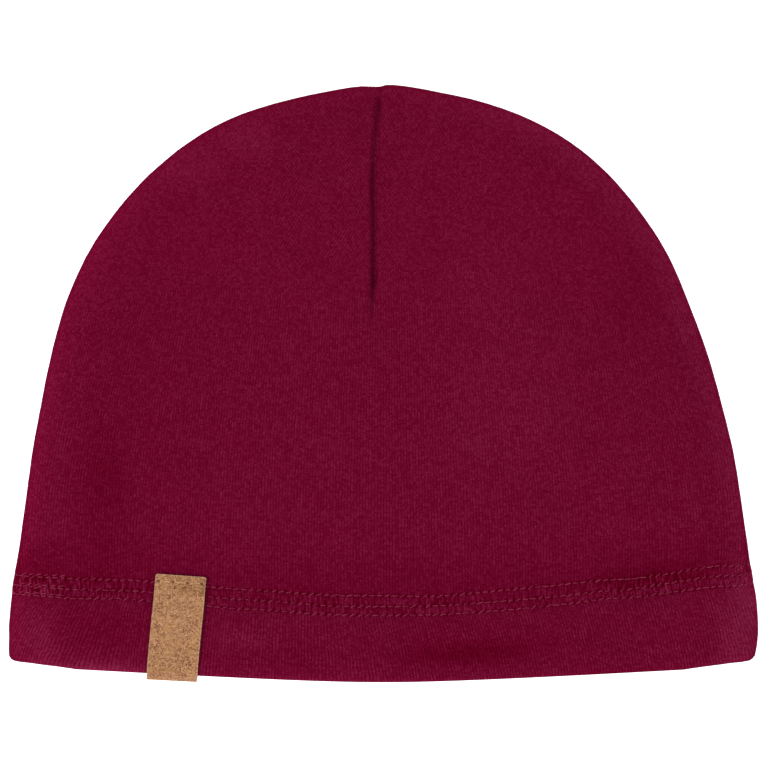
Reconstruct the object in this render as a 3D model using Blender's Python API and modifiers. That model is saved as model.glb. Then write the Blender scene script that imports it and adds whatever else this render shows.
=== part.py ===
"""A close-fitting knitted hat lying flat: two cloth panels with turned-up hems, and a folded hem label.

The hat lies on its back panel. +X runs to the right across the hat, +Y from the hem to the crown, +Z up
through the two layers. The origin is at the middle of the floor under it. Units are metres.

Each piece is one sheet: a grid of points on the middle of the cloth, given its thickness by Solidify.
"""
import math
from typing import NamedTuple

import bmesh
import bpy
import numpy as np
from mathutils import Vector

# Driving sizes of the flat hat
FLAT_WIDTH = 0.2206
FLAT_HEIGHT = 0.1756
HEM_SAG = 0.0049
SEAM_HEIGHT = 0.0052
CROWN_LOFT = 0.0110
FRONT_RIM = 0.0145
BACK_RIM = 0.0090

# Cloth
WALL = 0.0016
PLY_GAP = 0.0003
SEAM_GAP = 0.0004
SEAM_FACE = 0.0008
HEM_DEPTH = 0.0245

# Stitched valley just above the turned-up edge of the hem
VALLEY_DEPTH = 0.0011
VALLEY_ABOVE_HEM = 0.0017
VALLEY_HEM_SIDE = 0.0070
VALLEY_CROWN_SIDE = 0.0170

# Dart; its places across the hat are shares of half the flat width, and the last value is the share of its depth
# that is left at the seam
DART_LENGTH = 0.0655
DART_TOP_PLACE = -0.007
DART_END_PLACE = -0.031
DART_DEPTH = 0.0013
DART_HALF_WIDTH = 0.0021
DART_FADE = 0.0140
DART_SHARPNESS = 1.4
DART_EDGE_SHARE = 0.4

# Label; its place at the hem edge is a share of half the flat width, and its fold hangs below the hem by its slack
LABEL_WIDTH = 0.0148
LABEL_LENGTH = 0.0312
LABEL_THICKNESS = 0.0008
LABEL_CLEARANCE = 0.0004
LABEL_SLACK = 0.0007
LABEL_PLACE = -0.562
LABEL_LEAN = math.radians(5.15)

# Fineness of the facets: rows in the hem are shares of its depth, columns at the dart shares of its half width
HEM_ROWS = (0.22, 0.45, 0.68, 0.86, 1.00)
DART_COLUMNS = (0.48, 1.15, 2.60)
SIDE_COLUMNS = 12
COLUMN_CROWDING = 2.2
CROWN_ROWS = 19
FIRST_CROWN_ROW = 0.33
LAST_CROWN_ROW = 0.33
HEM_FOLD_STEPS = 4
LABEL_FOLD_STEPS = 8
LABEL_COLUMNS = 6
LABEL_ROWS = 7
OUTLINE_SAMPLES = 240


class Section(NamedTuple):
    """One level across the flat hat.

    rise is its share of the way from the hem's ends to the top, left and right are its reach as shares of half
    the flat width, sag is how far its middle hangs below its ends and tilt how far its right end stands above
    the mean of both, as shares of the hem's sag, and loft is the front's height as a share of the crown's.
    """
    rise: float
    left: float
    right: float
    sag: float
    tilt: float
    loft: float


SECTIONS = (
    Section(0.000, 0.950, 0.930, 1.00, 0.00, 0.93),
    Section(0.008, 0.990, 0.979, 1.04, 0.01, 0.93),
    Section(0.017, 1.000, 0.992, 1.08, 0.02, 0.93),
    Section(0.060, 1.000, 1.000, 1.27, 0.06, 0.94),
    Section(0.103, 0.995, 0.997, 1.48, 0.13, 0.94),
    Section(0.146, 0.988, 0.987, 1.62, 0.18, 0.94),
    Section(0.189, 0.976, 0.976, 1.54, 0.16, 0.95),
    Section(0.275, 0.957, 0.957, 1.15, 0.09, 0.97),
    Section(0.361, 0.939, 0.936, 0.82, 0.04, 0.99),
    Section(0.448, 0.915, 0.904, 0.55, 0.01, 1.00),
    Section(0.533, 0.888, 0.867, 0.33, 0.00, 1.00),
    Section(0.619, 0.851, 0.818, 0.17, 0.00, 1.00),
    Section(0.706, 0.792, 0.760, 0.06, 0.00, 0.99),
    Section(0.792, 0.701, 0.672, 0.00, 0.00, 0.97),
    Section(0.878, 0.567, 0.546, 0.00, 0.00, 0.94),
    Section(0.938, 0.421, 0.399, 0.00, 0.00, 0.91),
    Section(0.969, 0.284, 0.271, 0.00, 0.00, 0.88),
    Section(0.990, 0.137, 0.126, 0.00, 0.00, 0.86),
    Section(1.000, 0.000, 0.000, 0.00, 0.00, 0.85),
)
BEND_SOFTNESS = 0.25


class Dent(NamedTuple):
    """A soft hollow in the front, or a soft swelling where its depth is negative.

    x and reach_x are shares of half the flat width, rise and reach_rise shares of the way to the top, and depth
    is a share of the cloth's wall.
    """
    x: float
    rise: float
    reach_x: float
    reach_rise: float
    depth: float


DENTS = (
    Dent(0.26, 0.060, 0.30, 0.060, 0.35),
    Dent(-0.37, 0.065, 0.16, 0.050, -0.25),
    Dent(-0.76, 0.420, 0.11, 0.300, 0.30),
    Dent(0.70, 0.560, 0.12, 0.220, 0.30),
)

# Colours of the finishes: red, green, blue
CLOTH_COLOUR = (0.138, 0.0033, 0.0232)
CORK_COLOUR = (0.552, 0.305, 0.141)


def side_height():
    """The way from the hem's ends to the top of the crown."""
    return FLAT_HEIGHT - HEM_SAG


def hem_half():
    """Half the thickness of the folded hem."""
    return WALL + PLY_GAP / 2


def valley_height():
    """Height of the valley's floor above the hem edge."""
    return HEM_DEPTH + VALLEY_ABOVE_HEM


def curve_slopes(stations, values):
    """Slopes at the rows that keep a curve through them from swinging past any row."""
    steps = np.diff(values) / np.diff(stations)
    slopes = np.concatenate([steps[:1], np.zeros(len(steps) - 1), steps[-1:]])
    same_way = steps[:-1] * steps[1:] > 0.0
    before, after = steps[:-1][same_way], steps[1:][same_way]
    slopes[1:-1][same_way] = 2.0 * before * after / (before + after)
    return slopes


def section_curves():
    """Each column of the table as stations, values and slopes.

    The stations are square roots of the way left to the top, over which the round crown is nearly straight.
    """
    stations = np.sqrt([1.0 - section.rise for section in reversed(SECTIONS)])
    curves = {}
    for name in Section._fields[1:]:
        values = np.array([getattr(section, name) for section in reversed(SECTIONS)])
        curves[name] = (stations, values, curve_slopes(stations, values))
    return curves


CURVES = section_curves()


def reading(name, rise):
    """A column of the table at any rise, on a smooth curve through its rows."""
    stations, values, slopes = CURVES[name]
    at = math.sqrt(1.0 - min(max(rise, 0.0), 1.0))
    index = min(int(np.searchsorted(stations, at, side="right")) - 1, len(stations) - 2)
    step = stations[index + 1] - stations[index]
    share = (at - stations[index]) / step
    square, cube = share ** 2, share ** 3
    return float((2 * cube - 3 * square + 1) * values[index]
                 + (cube - 2 * square + share) * step * slopes[index]
                 + (3 * square - 2 * cube) * values[index + 1]
                 + (cube - square) * step * slopes[index + 1])


def dart_x(height):
    """Where the dart's line stands at a height above the hem's ends; below the dart it fades to the middle."""
    dart_end = side_height() - DART_LENGTH
    if height >= dart_end:
        share = (height - dart_end) / DART_LENGTH
        place = DART_END_PLACE + (DART_TOP_PLACE - DART_END_PLACE) * share
    else:
        place = DART_END_PLACE * max(height / dart_end, 0.0)
    return place * FLAT_WIDTH / 2


def row_bend(share):
    """How far a row has risen from its middle at a share of half the width: 0 in the middle, 1 at the sides."""
    floor = BEND_SOFTNESS
    return (math.hypot(share, floor) - floor) / (math.hypot(1.0, floor) - floor)


def plan_point(across, height):
    """A point of the flat outline: across runs from -1 at the left edge to 1 at the right."""
    rise = height / side_height()
    tilt = reading("tilt", rise) * HEM_SAG
    end_rise = (height + math.copysign(tilt, across)) / side_height()
    reach = reading("left" if across < 0 else "right", end_rise) * FLAT_WIDTH / 2
    middle = dart_x(height)
    x = middle + abs(across) * (math.copysign(reach, across) - middle)
    bend = row_bend(2 * x / FLAT_WIDTH)
    level = height - reading("sag", rise) * HEM_SAG * (1.0 - bend) + math.copysign(tilt, x) * bend
    return np.array([x, level - FLAT_HEIGHT / 2 + HEM_SAG])


def outline_path():
    """Points along the edge from the left hem corner over the crown to the right one, with outward normals."""
    shares = np.linspace(1.0, 0.0, OUTLINE_SAMPLES)
    left = [plan_point(-1.0, side_height() * (1.0 - share ** 2)) for share in shares]
    right = [plan_point(1.0, side_height() * (1.0 - share ** 2)) for share in shares[::-1]]
    points = np.array(left + right[1:])
    along = np.gradient(points, axis=0)
    normals = np.stack([-along[:, 1], along[:, 0]], axis=1)
    return points, normals / np.linalg.norm(normals, axis=1)[:, None]


EDGE_POINTS, EDGE_NORMALS = outline_path()


def edge_distance(plan):
    """How far a point lies inside the edge, and the outward direction there."""
    starts, runs = EDGE_POINTS[:-1], np.diff(EDGE_POINTS, axis=0)
    shares = np.clip(np.sum((plan - starts) * runs, axis=1) / np.sum(runs * runs, axis=1), 0.0, 1.0)
    gaps = np.linalg.norm(starts + shares[:, None] * runs - plan, axis=1)
    nearest = int(np.argmin(gaps))
    share = shares[nearest]
    outward = EDGE_NORMALS[nearest] * (1.0 - share) + EDGE_NORMALS[nearest + 1] * share
    return float(gaps[nearest]), outward / np.linalg.norm(outward)


def smooth_step(share):
    """An even S-curve from 0 to 1."""
    share = min(max(share, 0.0), 1.0)
    return share * share * (3.0 - 2.0 * share)


def valley(height):
    """Depth of the stitched valley at a height above the hem edge."""
    above = height - valley_height()
    span = VALLEY_CROWN_SIDE if above > 0 else VALLEY_HEM_SIDE
    return VALLEY_DEPTH * (1.0 - smooth_step(abs(above) / span))


def dent_depth(x, height):
    """Depth of the front's soft dents."""
    total = 0.0
    for dent in DENTS:
        aside = (2 * x / FLAT_WIDTH - dent.x) / dent.reach_x
        along = (height / side_height() - dent.rise) / dent.reach_rise
        total += dent.depth * WALL * (1.0 - smooth_step(math.hypot(aside, along)))
    return total


def dart_groove(x, height):
    """Depth of the dart's groove."""
    along = smooth_step((height - side_height() + DART_LENGTH) / DART_FADE)
    aside = max(1.0 - abs(x - dart_x(height)) / DART_HALF_WIDTH, 0.0)
    return DART_DEPTH * along * aside ** DART_SHARPNESS


def cloth_point(across, height, depth, front, at_seam=False):
    """A point of a panel, depth inside its outer face; at_seam drops it to the straight edge along the seam."""
    plan = plan_point(across, height)
    inside, outward = edge_distance(plan)
    if abs(across) == 1.0 or height == side_height():
        inside = 0.0
    rim = FRONT_RIM if front else BACK_RIM
    lean = max(1.0 - inside / rim, 0.0)
    lift = math.sqrt(1.0 - lean ** 2)
    loft = reading("loft", height / side_height()) * CROWN_LOFT if front else SEAM_HEIGHT
    up = 1.0 if front else -1.0
    foot = SEAM_GAP / 2 + (0.0 if at_seam else SEAM_FACE)
    z = SEAM_HEIGHT + up * (foot + (loft - foot) * lift)
    dart = dart_groove(plan[0], height) * (1.0 - (1.0 - DART_EDGE_SHARE) * lean)
    sink = depth + dart + valley(height) * lift
    if front:
        sink += dent_depth(plan[0], height) * lift
    return Vector((plan[0] - sink * lean * outward[0], plan[1] - sink * lean * outward[1], z - up * sink * lift))


def crowded(count, crowding):
    """Shares from 0 to 1 that stand closer and closer towards 1."""
    return [1.0 - (1.0 - step / count) ** crowding for step in range(count + 1)]


def panel_columns():
    """Positions across a panel: close at the edges and beside the dart."""
    dart = [share * DART_HALF_WIDTH / (FLAT_WIDTH / 2) for share in DART_COLUMNS]
    half = sorted(crowded(SIDE_COLUMNS, COLUMN_CROWDING)[1:] + dart)
    return [-share for share in reversed(half)] + [0.0] + half


def fold_rows(middle_depth, radius, centre_height, steps):
    """Heights and depths round a fold, from the inner layer to the outer one."""
    turns = [math.pi * (1.0 - step / steps) for step in range(steps + 1)]
    return [(centre_height - radius * math.sin(turn), middle_depth - radius * math.cos(turn)) for turn in turns]


def panel_rows():
    """Heights and depths of the rows of a panel, from the turned-up edge inside, round the fold, to the top."""
    levels = [HEM_DEPTH * share for share in HEM_ROWS]
    rows = [(level, 2 * hem_half() - WALL / 2) for level in reversed(levels)]
    rows += fold_rows(hem_half(), hem_half() - WALL / 2, hem_half(), HEM_FOLD_STEPS)
    rows += [(level, WALL / 2) for level in levels + [valley_height()]]
    first = valley_height() + VALLEY_CROWN_SIDE * FIRST_CROWN_ROW
    start = math.sqrt(1.0 - first / side_height())
    steps = [float(step) for step in range(CROWN_ROWS, 0, -1)] + [LAST_CROWN_ROW]
    rows += [(side_height() * (1.0 - (start * step / CROWN_ROWS) ** 2), WALL / 2) for step in steps]
    return rows


def sheet_object(name, grid, thickness, colour, roughness, apex=()):
    """An open sheet through a grid of points.

    An apex holds the two points that close it at the top: one on the seam's edge and one just off it.
    """
    mesh = bmesh.new()
    rows = [[mesh.verts.new(point) for point in row] for row in grid]
    for low, high in zip(rows, rows[1:]):
        for index in range(len(low) - 1):
            mesh.faces.new((low[index], low[index + 1], high[index + 1], high[index]))
    if apex:
        edge_tip, tip = (mesh.verts.new(point) for point in apex)
        last = rows[-1]
        mesh.faces.new((last[0], last[1], tip, edge_tip))
        for left, right in zip(last[1:-1], last[2:-1]):
            mesh.faces.new((left, right, tip))
        mesh.faces.new((last[-2], last[-1], edge_tip, tip))
    data = bpy.data.meshes.new(name)
    mesh.to_mesh(data)
    mesh.free()
    data.shade_smooth()
    piece = bpy.data.objects.new(name, data)
    piece.data.materials.append(finish(name + "_finish", colour, roughness))
    wall = piece.modifiers.new("Wall", "SOLIDIFY")
    wall.thickness = thickness
    wall.offset = 0.0
    wall.use_even_offset = True
    wall.use_quality_normals = True
    return piece


def finish(name, colour, roughness):
    """A plain non-metal finish."""
    material = bpy.data.materials.new(name)
    material.use_nodes = True
    shader = material.node_tree.nodes["Principled BSDF"]
    shader.inputs["Base Color"].default_value = (*colour, 1.0)
    shader.inputs["Roughness"].default_value = roughness
    shader.inputs["Metallic"].default_value = 0.0
    return material


def panel(name, front):
    """One cloth panel: a sheet folded up at the hem."""
    columns = panel_columns()
    if not front:
        columns.reverse()
    grid = []
    for height, depth in panel_rows():
        row = [cloth_point(across, height, depth, front) for across in columns]
        row.insert(0, cloth_point(columns[0], height, depth, front, at_seam=True))
        row.append(cloth_point(columns[-1], height, depth, front, at_seam=True))
        grid.append(row)
    apex = [cloth_point(0.0, side_height(), WALL / 2, front, at_seam) for at_seam in (True, False)]
    return sheet_object(name, grid, WALL, CLOTH_COLOUR, 0.95, apex)


def across_at(x, height):
    """The share across the hat of a point left of the dart's line."""
    reach = reading("left", height / side_height()) * FLAT_WIDTH / 2
    middle = dart_x(height)
    return (x - middle) / (reach + middle)


def label_rows():
    """Heights and depths of the label's rows: the inner leg, round the hem edge and up the outer leg."""
    stand_off = LABEL_CLEARANCE + LABEL_THICKNESS / 2
    step = (LABEL_LENGTH - hem_half()) / LABEL_ROWS
    levels = [hem_half() + step * (index + 1) for index in range(LABEL_ROWS)]
    rows = [(level, 2 * hem_half() + stand_off) for level in reversed(levels)]
    rows += fold_rows(hem_half(), hem_half() + stand_off, hem_half() - LABEL_SLACK, LABEL_FOLD_STEPS)
    rows += [(level, -stand_off) for level in levels]
    return rows


def label():
    """The label: one strip folded round the front hem edge, leaning a little to the right."""
    grid = []
    for height, depth in label_rows():
        middle = LABEL_PLACE * FLAT_WIDTH / 2 + height * math.tan(LABEL_LEAN)
        row = []
        for index in range(LABEL_COLUMNS + 1):
            x = middle + LABEL_WIDTH * (index / LABEL_COLUMNS - 0.5)
            row.append(cloth_point(across_at(x, height), height, depth, True))
        grid.append(row)
    return sheet_object("label_tag", grid, LABEL_THICKNESS, CORK_COLOUR, 0.8)


def clear_scene():
    """Take away whatever the scene holds."""
    for thing in list(bpy.data.objects):
        bpy.data.objects.remove(thing, do_unlink=True)


def main():
    """Build the hat in its own collection."""
    clear_scene()
    hat = bpy.data.collections.new("beanie")
    bpy.context.scene.collection.children.link(hat)
    for piece in (panel("front_panel", True), panel("back_panel", False), label()):
        hat.objects.link(piece)


main()
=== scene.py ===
"""Looks of a close-fitting knitted hat that lies flat on a pale floor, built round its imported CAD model.

The hat lies on its back panel. +X runs to the right across it, +Y from the hem to the crown and +Z up through
its two layers. Lengths are in metres.
"""
import logging
import math
from dataclasses import dataclass, field
from enum import Enum
from functools import partialmethod
from typing import ClassVar

import bpy
import numpy as np
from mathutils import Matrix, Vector


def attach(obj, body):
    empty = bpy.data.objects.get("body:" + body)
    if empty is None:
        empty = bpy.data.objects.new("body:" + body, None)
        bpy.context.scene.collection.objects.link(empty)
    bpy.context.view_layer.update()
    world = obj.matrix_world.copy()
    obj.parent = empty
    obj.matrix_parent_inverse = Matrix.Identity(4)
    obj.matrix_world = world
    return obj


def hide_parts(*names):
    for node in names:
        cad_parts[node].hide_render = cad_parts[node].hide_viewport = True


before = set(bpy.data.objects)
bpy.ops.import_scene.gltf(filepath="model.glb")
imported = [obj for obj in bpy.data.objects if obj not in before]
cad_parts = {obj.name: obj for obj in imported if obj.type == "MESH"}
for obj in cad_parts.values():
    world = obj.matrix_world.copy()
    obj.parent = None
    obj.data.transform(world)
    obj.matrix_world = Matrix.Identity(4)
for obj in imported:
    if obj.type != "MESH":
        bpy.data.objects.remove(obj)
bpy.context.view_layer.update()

LOG = logging.getLogger("knitted_hat")
BODY = "root"
MM = 0.001
TURN = 2.0 * math.pi
SHARP_ANGLE = math.radians(62.0)
Array = np.ndarray
Colour = tuple[float, float, float]
Span = tuple[float, float]
Table = tuple[tuple[float, ...], ...]
Setting = object


class Face(Enum):
    """A panel of the hat, by the way its outer face looks along Z."""
    FRONT = 1.0
    BACK = -1.0


class Slot(Enum):
    """The record's material slots."""
    CLOTH = "cloth"
    CORK = "cork_label"


def smooth(share: Array) -> Array:
    """An even S-curve from 0 to 1, held at its ends."""
    share = np.clip(share, 0.0, 1.0)
    return share * share * (3.0 - 2.0 * share)


def smooth_rise(share: Array) -> Array:
    """A line that starts and ends softly: the sum of an even S-curve, held at 1 from its end on."""
    share = np.clip(share, 0.0, 1.0)
    return share * share * (1.5 - 0.5 * share)


def bell(offset: Array, reach: float) -> Array:
    """A soft hump: 1 at no offset, and nearly 0 at twice its reach."""
    return np.exp(-np.square(offset / reach))


def between(table: Table, place: Array) -> Array:
    """The values of a table of places and values, on straight lines between its places."""
    return np.interp(place, *np.array(table).T)


def spaced(low: float, high: float, count: int, density: Array) -> Array:
    """Places between two ends that stand closer where a density is higher.

    Args:
        low: the first place.
        high: the last place.
        count: how many places.
        density: how close they stand, read at even steps from low to high.

    Returns:
        The places, the ends included.
    """
    stations = np.linspace(low, high, len(density))
    total = np.concatenate([[0.0], np.cumsum((density[1:] + density[:-1]) / 2.0)])
    return np.interp(np.linspace(0.0, total[-1], count), total, stations)


@dataclass(frozen=True)
class SoftWaves:
    """Soft unevenness of a surface: faint waves, each with its own way, length and start.

    Attributes:
        height: how far the surface wanders up and down.
        shortest: the shortest wave.
        longest: the longest wave.
        seed: fixes the waves.
        count: how many waves there are.
    """
    height: float
    shortest: float
    longest: float
    seed: int
    count: int = 14

    def at(self, x: Array, y: Array) -> Array:
        """How far the surface stands proud.

        Args:
            x: places across.
            y: places along.

        Returns:
            One height for each place.
        """
        draw = np.random.default_rng(self.seed)
        ways = draw.uniform(0.0, TURN, self.count)
        lengths = np.exp(draw.uniform(math.log(self.shortest), math.log(self.longest), self.count))
        starts = draw.uniform(0.0, TURN, self.count)
        total = np.zeros_like(x)
        for way, length, start in zip(ways, lengths, starts):
            total += np.sin((x * math.cos(way) + y * math.sin(way)) * TURN / length + start)
        return total * self.height / math.sqrt(self.count / 2.0)


@dataclass(frozen=True)
class Valley:
    """The stitched hollow just above the turned-up edge of the hem."""
    depth: float = 1.5 * MM
    above_hem: float = 1.7 * MM
    hem_side: float = 9.0 * MM
    crown_side: float = 14.0 * MM


@dataclass(frozen=True)
class Dart:
    """The seam down the middle of a panel. Its places are shares of half the hat's width.

    The groove is the soft hollow round it, the crease is the seam itself, and the lips are the cloth that rolls
    up beside the crease, a little fuller on the right. The depths give a share of the length from the lower end
    and how deep the groove and crease are there. The wander gives a share of the length, a reach and how far
    the line strays there. At the outline an edge share of the depth is left. At the top the left side stands a
    step lower than the right.
    """
    length: float = 68.0 * MM
    top_place: float = -0.007
    end_place: float = -0.031
    groove_depth: float = 1.0 * MM
    groove_half_width: float = 2.1 * MM
    sharpness: float = 1.4
    depths: Table = ((0.010, 0.00), (0.024, 0.25), (0.038, 0.62), (0.065, 0.74), (0.090, 0.62), (0.118, 0.96),
                     (0.145, 1.52), (0.175, 1.24), (0.230, 1.02), (0.610, 1.02), (0.670, 0.76), (0.780, 0.74),
                     (0.830, 1.00), (0.870, 1.50), (0.895, 1.90), (0.930, 2.15))
    crease_depth: float = 0.86 * MM
    crease_reach: float = 0.84 * MM
    lip_fade: float = 14.0 * MM
    lip_height: float = 0.16 * MM
    lip_place: float = 1.5 * MM
    lip_reach: float = 0.70 * MM
    left_lip: float = 0.6
    edge_share: float = 0.12
    wander: Table = ((0.60, 0.16, -1.05 * MM), (0.14, 0.10, 0.30 * MM), (0.85, 0.12, -0.45 * MM))
    step: float = 0.62 * MM
    step_reach: float = 8.0 * MM
    step_width: float = 0.8 * MM


@dataclass(frozen=True)
class CoverStitch:
    """Sizes of the hem's three rows of stitches, by their height above the hem's ends.

    The pull is how hard the thread draws the cloth in, on the whole and more at each stitch. The course gives a
    share of half the width and how much higher, in millimetres, all rows run there. A gather is a stretch where
    the cloth is drawn up more than the common gathering: its middle and its reach, as shares of half the width,
    and how much more. The puckers lie between the outer rows, or past them by the band's edge.
    """
    rows: tuple[float, ...] = (22.75 * MM, 25.40 * MM, 28.35 * MM)
    pitch: float = 2.2 * MM
    margin: float = 0.995
    row_reach: float = 0.42 * MM
    row_depth: float = 0.20 * MM
    pull: float = 0.7
    pull_swing: float = 0.3
    wander: float = 0.09 * MM
    wander_lengths: tuple[float, float] = (18.0 * MM, 70.0 * MM)
    wander_seed: int = 31
    wander_waves: int = 5
    course: Table = ((-1.00, -0.70), (-0.90, -0.60), (-0.83, -0.50), (-0.75, 0.00), (-0.67, 0.45),
                     (-0.58, 0.30), (-0.40, 0.10), (-0.28, 0.15), (-0.12, -0.15), (0.00, -0.05),
                     (0.15, -0.40), (0.43, 0.00), (0.58, 0.30), (0.66, -0.05), (0.75, 0.35), (0.84, 0.95),
                     (0.89, 1.25), (0.95, 0.70), (1.00, 0.60))
    gathering: float = 0.6
    gathers: Table = ((-0.92, 0.07, 1.3), (-0.72, 0.10, 0.6), (-0.19, 0.12, 0.5), (0.15, 0.10, 0.4),
                      (0.72, 0.14, 0.5))
    puckers: SoftWaves = SoftWaves(1.0, 1.6 * MM, 4.5 * MM, 41, 9)
    pucker_height: float = 0.09 * MM
    pucker_stretch: float = 0.35
    pucker_limit: float = 1.6
    band_edge: float = 0.4 * MM


# Levels across the flat hat: the share of the way to the top, the reach to the left and to the right as shares
# of half its width, how far the middle sags and the right end rises as shares of the hem's sag, and the share
# of the crown's height.
LEVELS = np.array((
    (0.000, 0.950, 0.930, 1.00, 0.00, 0.93),
    (0.008, 0.990, 0.979, 1.04, 0.01, 0.93),
    (0.017, 1.000, 0.992, 1.08, 0.02, 0.93),
    (0.060, 1.000, 1.000, 1.27, 0.06, 0.94),
    (0.103, 0.995, 0.997, 1.48, 0.13, 0.94),
    (0.146, 0.988, 0.987, 1.62, 0.18, 0.94),
    (0.189, 0.976, 0.976, 1.54, 0.16, 0.95),
    (0.275, 0.957, 0.957, 1.15, 0.09, 0.97),
    (0.361, 0.939, 0.936, 0.82, 0.04, 0.99),
    (0.448, 0.915, 0.904, 0.55, 0.01, 1.00),
    (0.533, 0.888, 0.867, 0.33, 0.00, 1.00),
    (0.619, 0.851, 0.818, 0.17, 0.00, 1.00),
    (0.706, 0.792, 0.760, 0.06, 0.00, 0.99),
    (0.792, 0.701, 0.672, 0.00, 0.00, 0.97),
    (0.878, 0.567, 0.546, 0.00, 0.00, 0.94),
    (0.938, 0.421, 0.399, 0.00, 0.00, 0.91),
    (0.969, 0.284, 0.271, 0.00, 0.00, 0.88),
    (0.990, 0.137, 0.126, 0.00, 0.00, 0.86),
    (1.000, 0.000, 0.000, 0.00, 0.00, 0.85),
))
LEVEL_COLUMNS = ("left", "right", "sag", "tilt", "loft")

# Soft dents of the front: the place across as a share of half the width, the share of the way up, the reach of
# both, and the depth as a share of the cloth's wall. A swelling has a depth below 0.
DENTS = (
    (0.26, 0.035, 0.33, 0.050, 0.90),
    (-0.37, 0.065, 0.16, 0.050, -0.50),
    (-0.66, 0.330, 0.15, 0.300, 0.80),
    (-0.45, 0.330, 0.30, 0.330, 0.50),
    (-0.50, 0.880, 0.22, 0.120, 0.70),
    (0.36, 0.580, 0.32, 0.220, -0.70),
    (0.78, 0.520, 0.20, 0.260, 0.80),
    (0.72, 0.150, 0.24, 0.045, 0.60),
)

# Patches of painted light and shade on the front: the same four sizes, and how much lighter the cloth is
# painted there.
PAINTED_LIGHT_MARKS = (
    (0.22, 0.054, 0.28, 0.036, -0.17),
    (0.71, 0.166, 0.24, 0.026, -0.14),
    (0.30, 0.070, 0.62, 0.090, -0.07),
    (-0.76, 0.080, 0.24, 0.070, -0.09),
    (-0.745, 0.310, 0.12, 0.200, -0.10),
    (0.66, 0.630, 0.13, 0.140, -0.05),
    (0.28, 0.645, 0.18, 0.130, 0.04),
    (-0.38, 0.075, 0.13, 0.024, 0.09),
    (-0.28, 0.046, 0.26, 0.044, -0.05),
    (-0.91, 0.060, 0.09, 0.080, 0.13),
    (0.93, 0.055, 0.08, 0.060, 0.09),
    (0.64, 0.000, 0.24, 0.014, -0.16),
    (-0.76, 0.002, 0.30, 0.026, 0.20),
    (0.95, 0.115, 0.10, 0.110, 0.12),
    (0.32, 0.460, 0.30, 0.220, 0.05),
    (-0.62, 0.500, 0.30, 0.400, -0.03),
    (-0.52, 0.855, 0.13, 0.055, 0.08),
    (-0.36, 0.905, 0.13, 0.050, 0.09),
)


@dataclass(frozen=True)
class KnitCourse:
    """How the knit's columns run over a panel, and where painted light and shade lie along its outline.

    The hem's lean gives a share of half the width and how far the columns lean to the right there, which eases
    off downwards. From the start of the draw upwards the columns stand closer together. Beside the dart, from a
    start above its end, they slant to it: wholly as far as the reach to its left or right, and in patches much
    further. A painted highlight lies inside the right half of the outline, and a painted shade close along all
    of it.
    """
    hem_lean: Table = ((-1.00, 0.62), (-0.90, 0.58), (-0.80, 0.40), (-0.70, 0.20), (-0.50, 0.14), (-0.35, 0.08),
                       (-0.20, 0.00), (0.00, -0.20), (0.20, -0.30), (0.70, -0.28), (0.90, -0.36), (1.00, -0.45))
    lean_ease: float = 0.25
    draw: float = 2.6
    draw_start: float = 34.0 * MM
    draw_rise: float = 90.0 * MM
    slant: float = math.radians(31.0)
    slant_closeness: float = 1.14
    left_reach: float = 46.0 * MM
    left_fade: float = 30.0 * MM
    right_reach: float = 12.0 * MM
    right_fade: float = 10.0 * MM
    slant_start: float = 5.0 * MM
    slant_rise: float = 16.0 * MM
    patch_share: float = 0.48
    patch_reach: float = 75.0 * MM
    patch_fade: float = 25.0 * MM
    patch_start: float = 12.0 * MM
    patch_rise: float = 25.0 * MM
    seam_reach: float = 1.6 * MM
    # Painted light inside the right half of the outline, and painted shade close along all of it.
    rim_painted_light: float = 0.08
    rim_painted_light_side: float = 0.2
    rim_painted_light_hold: float = 1.4
    rim_painted_light_reach: float = 7.0 * MM
    rim_painted_shade: float = 0.17
    rim_painted_shade_reach: float = 1.9 * MM


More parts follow.
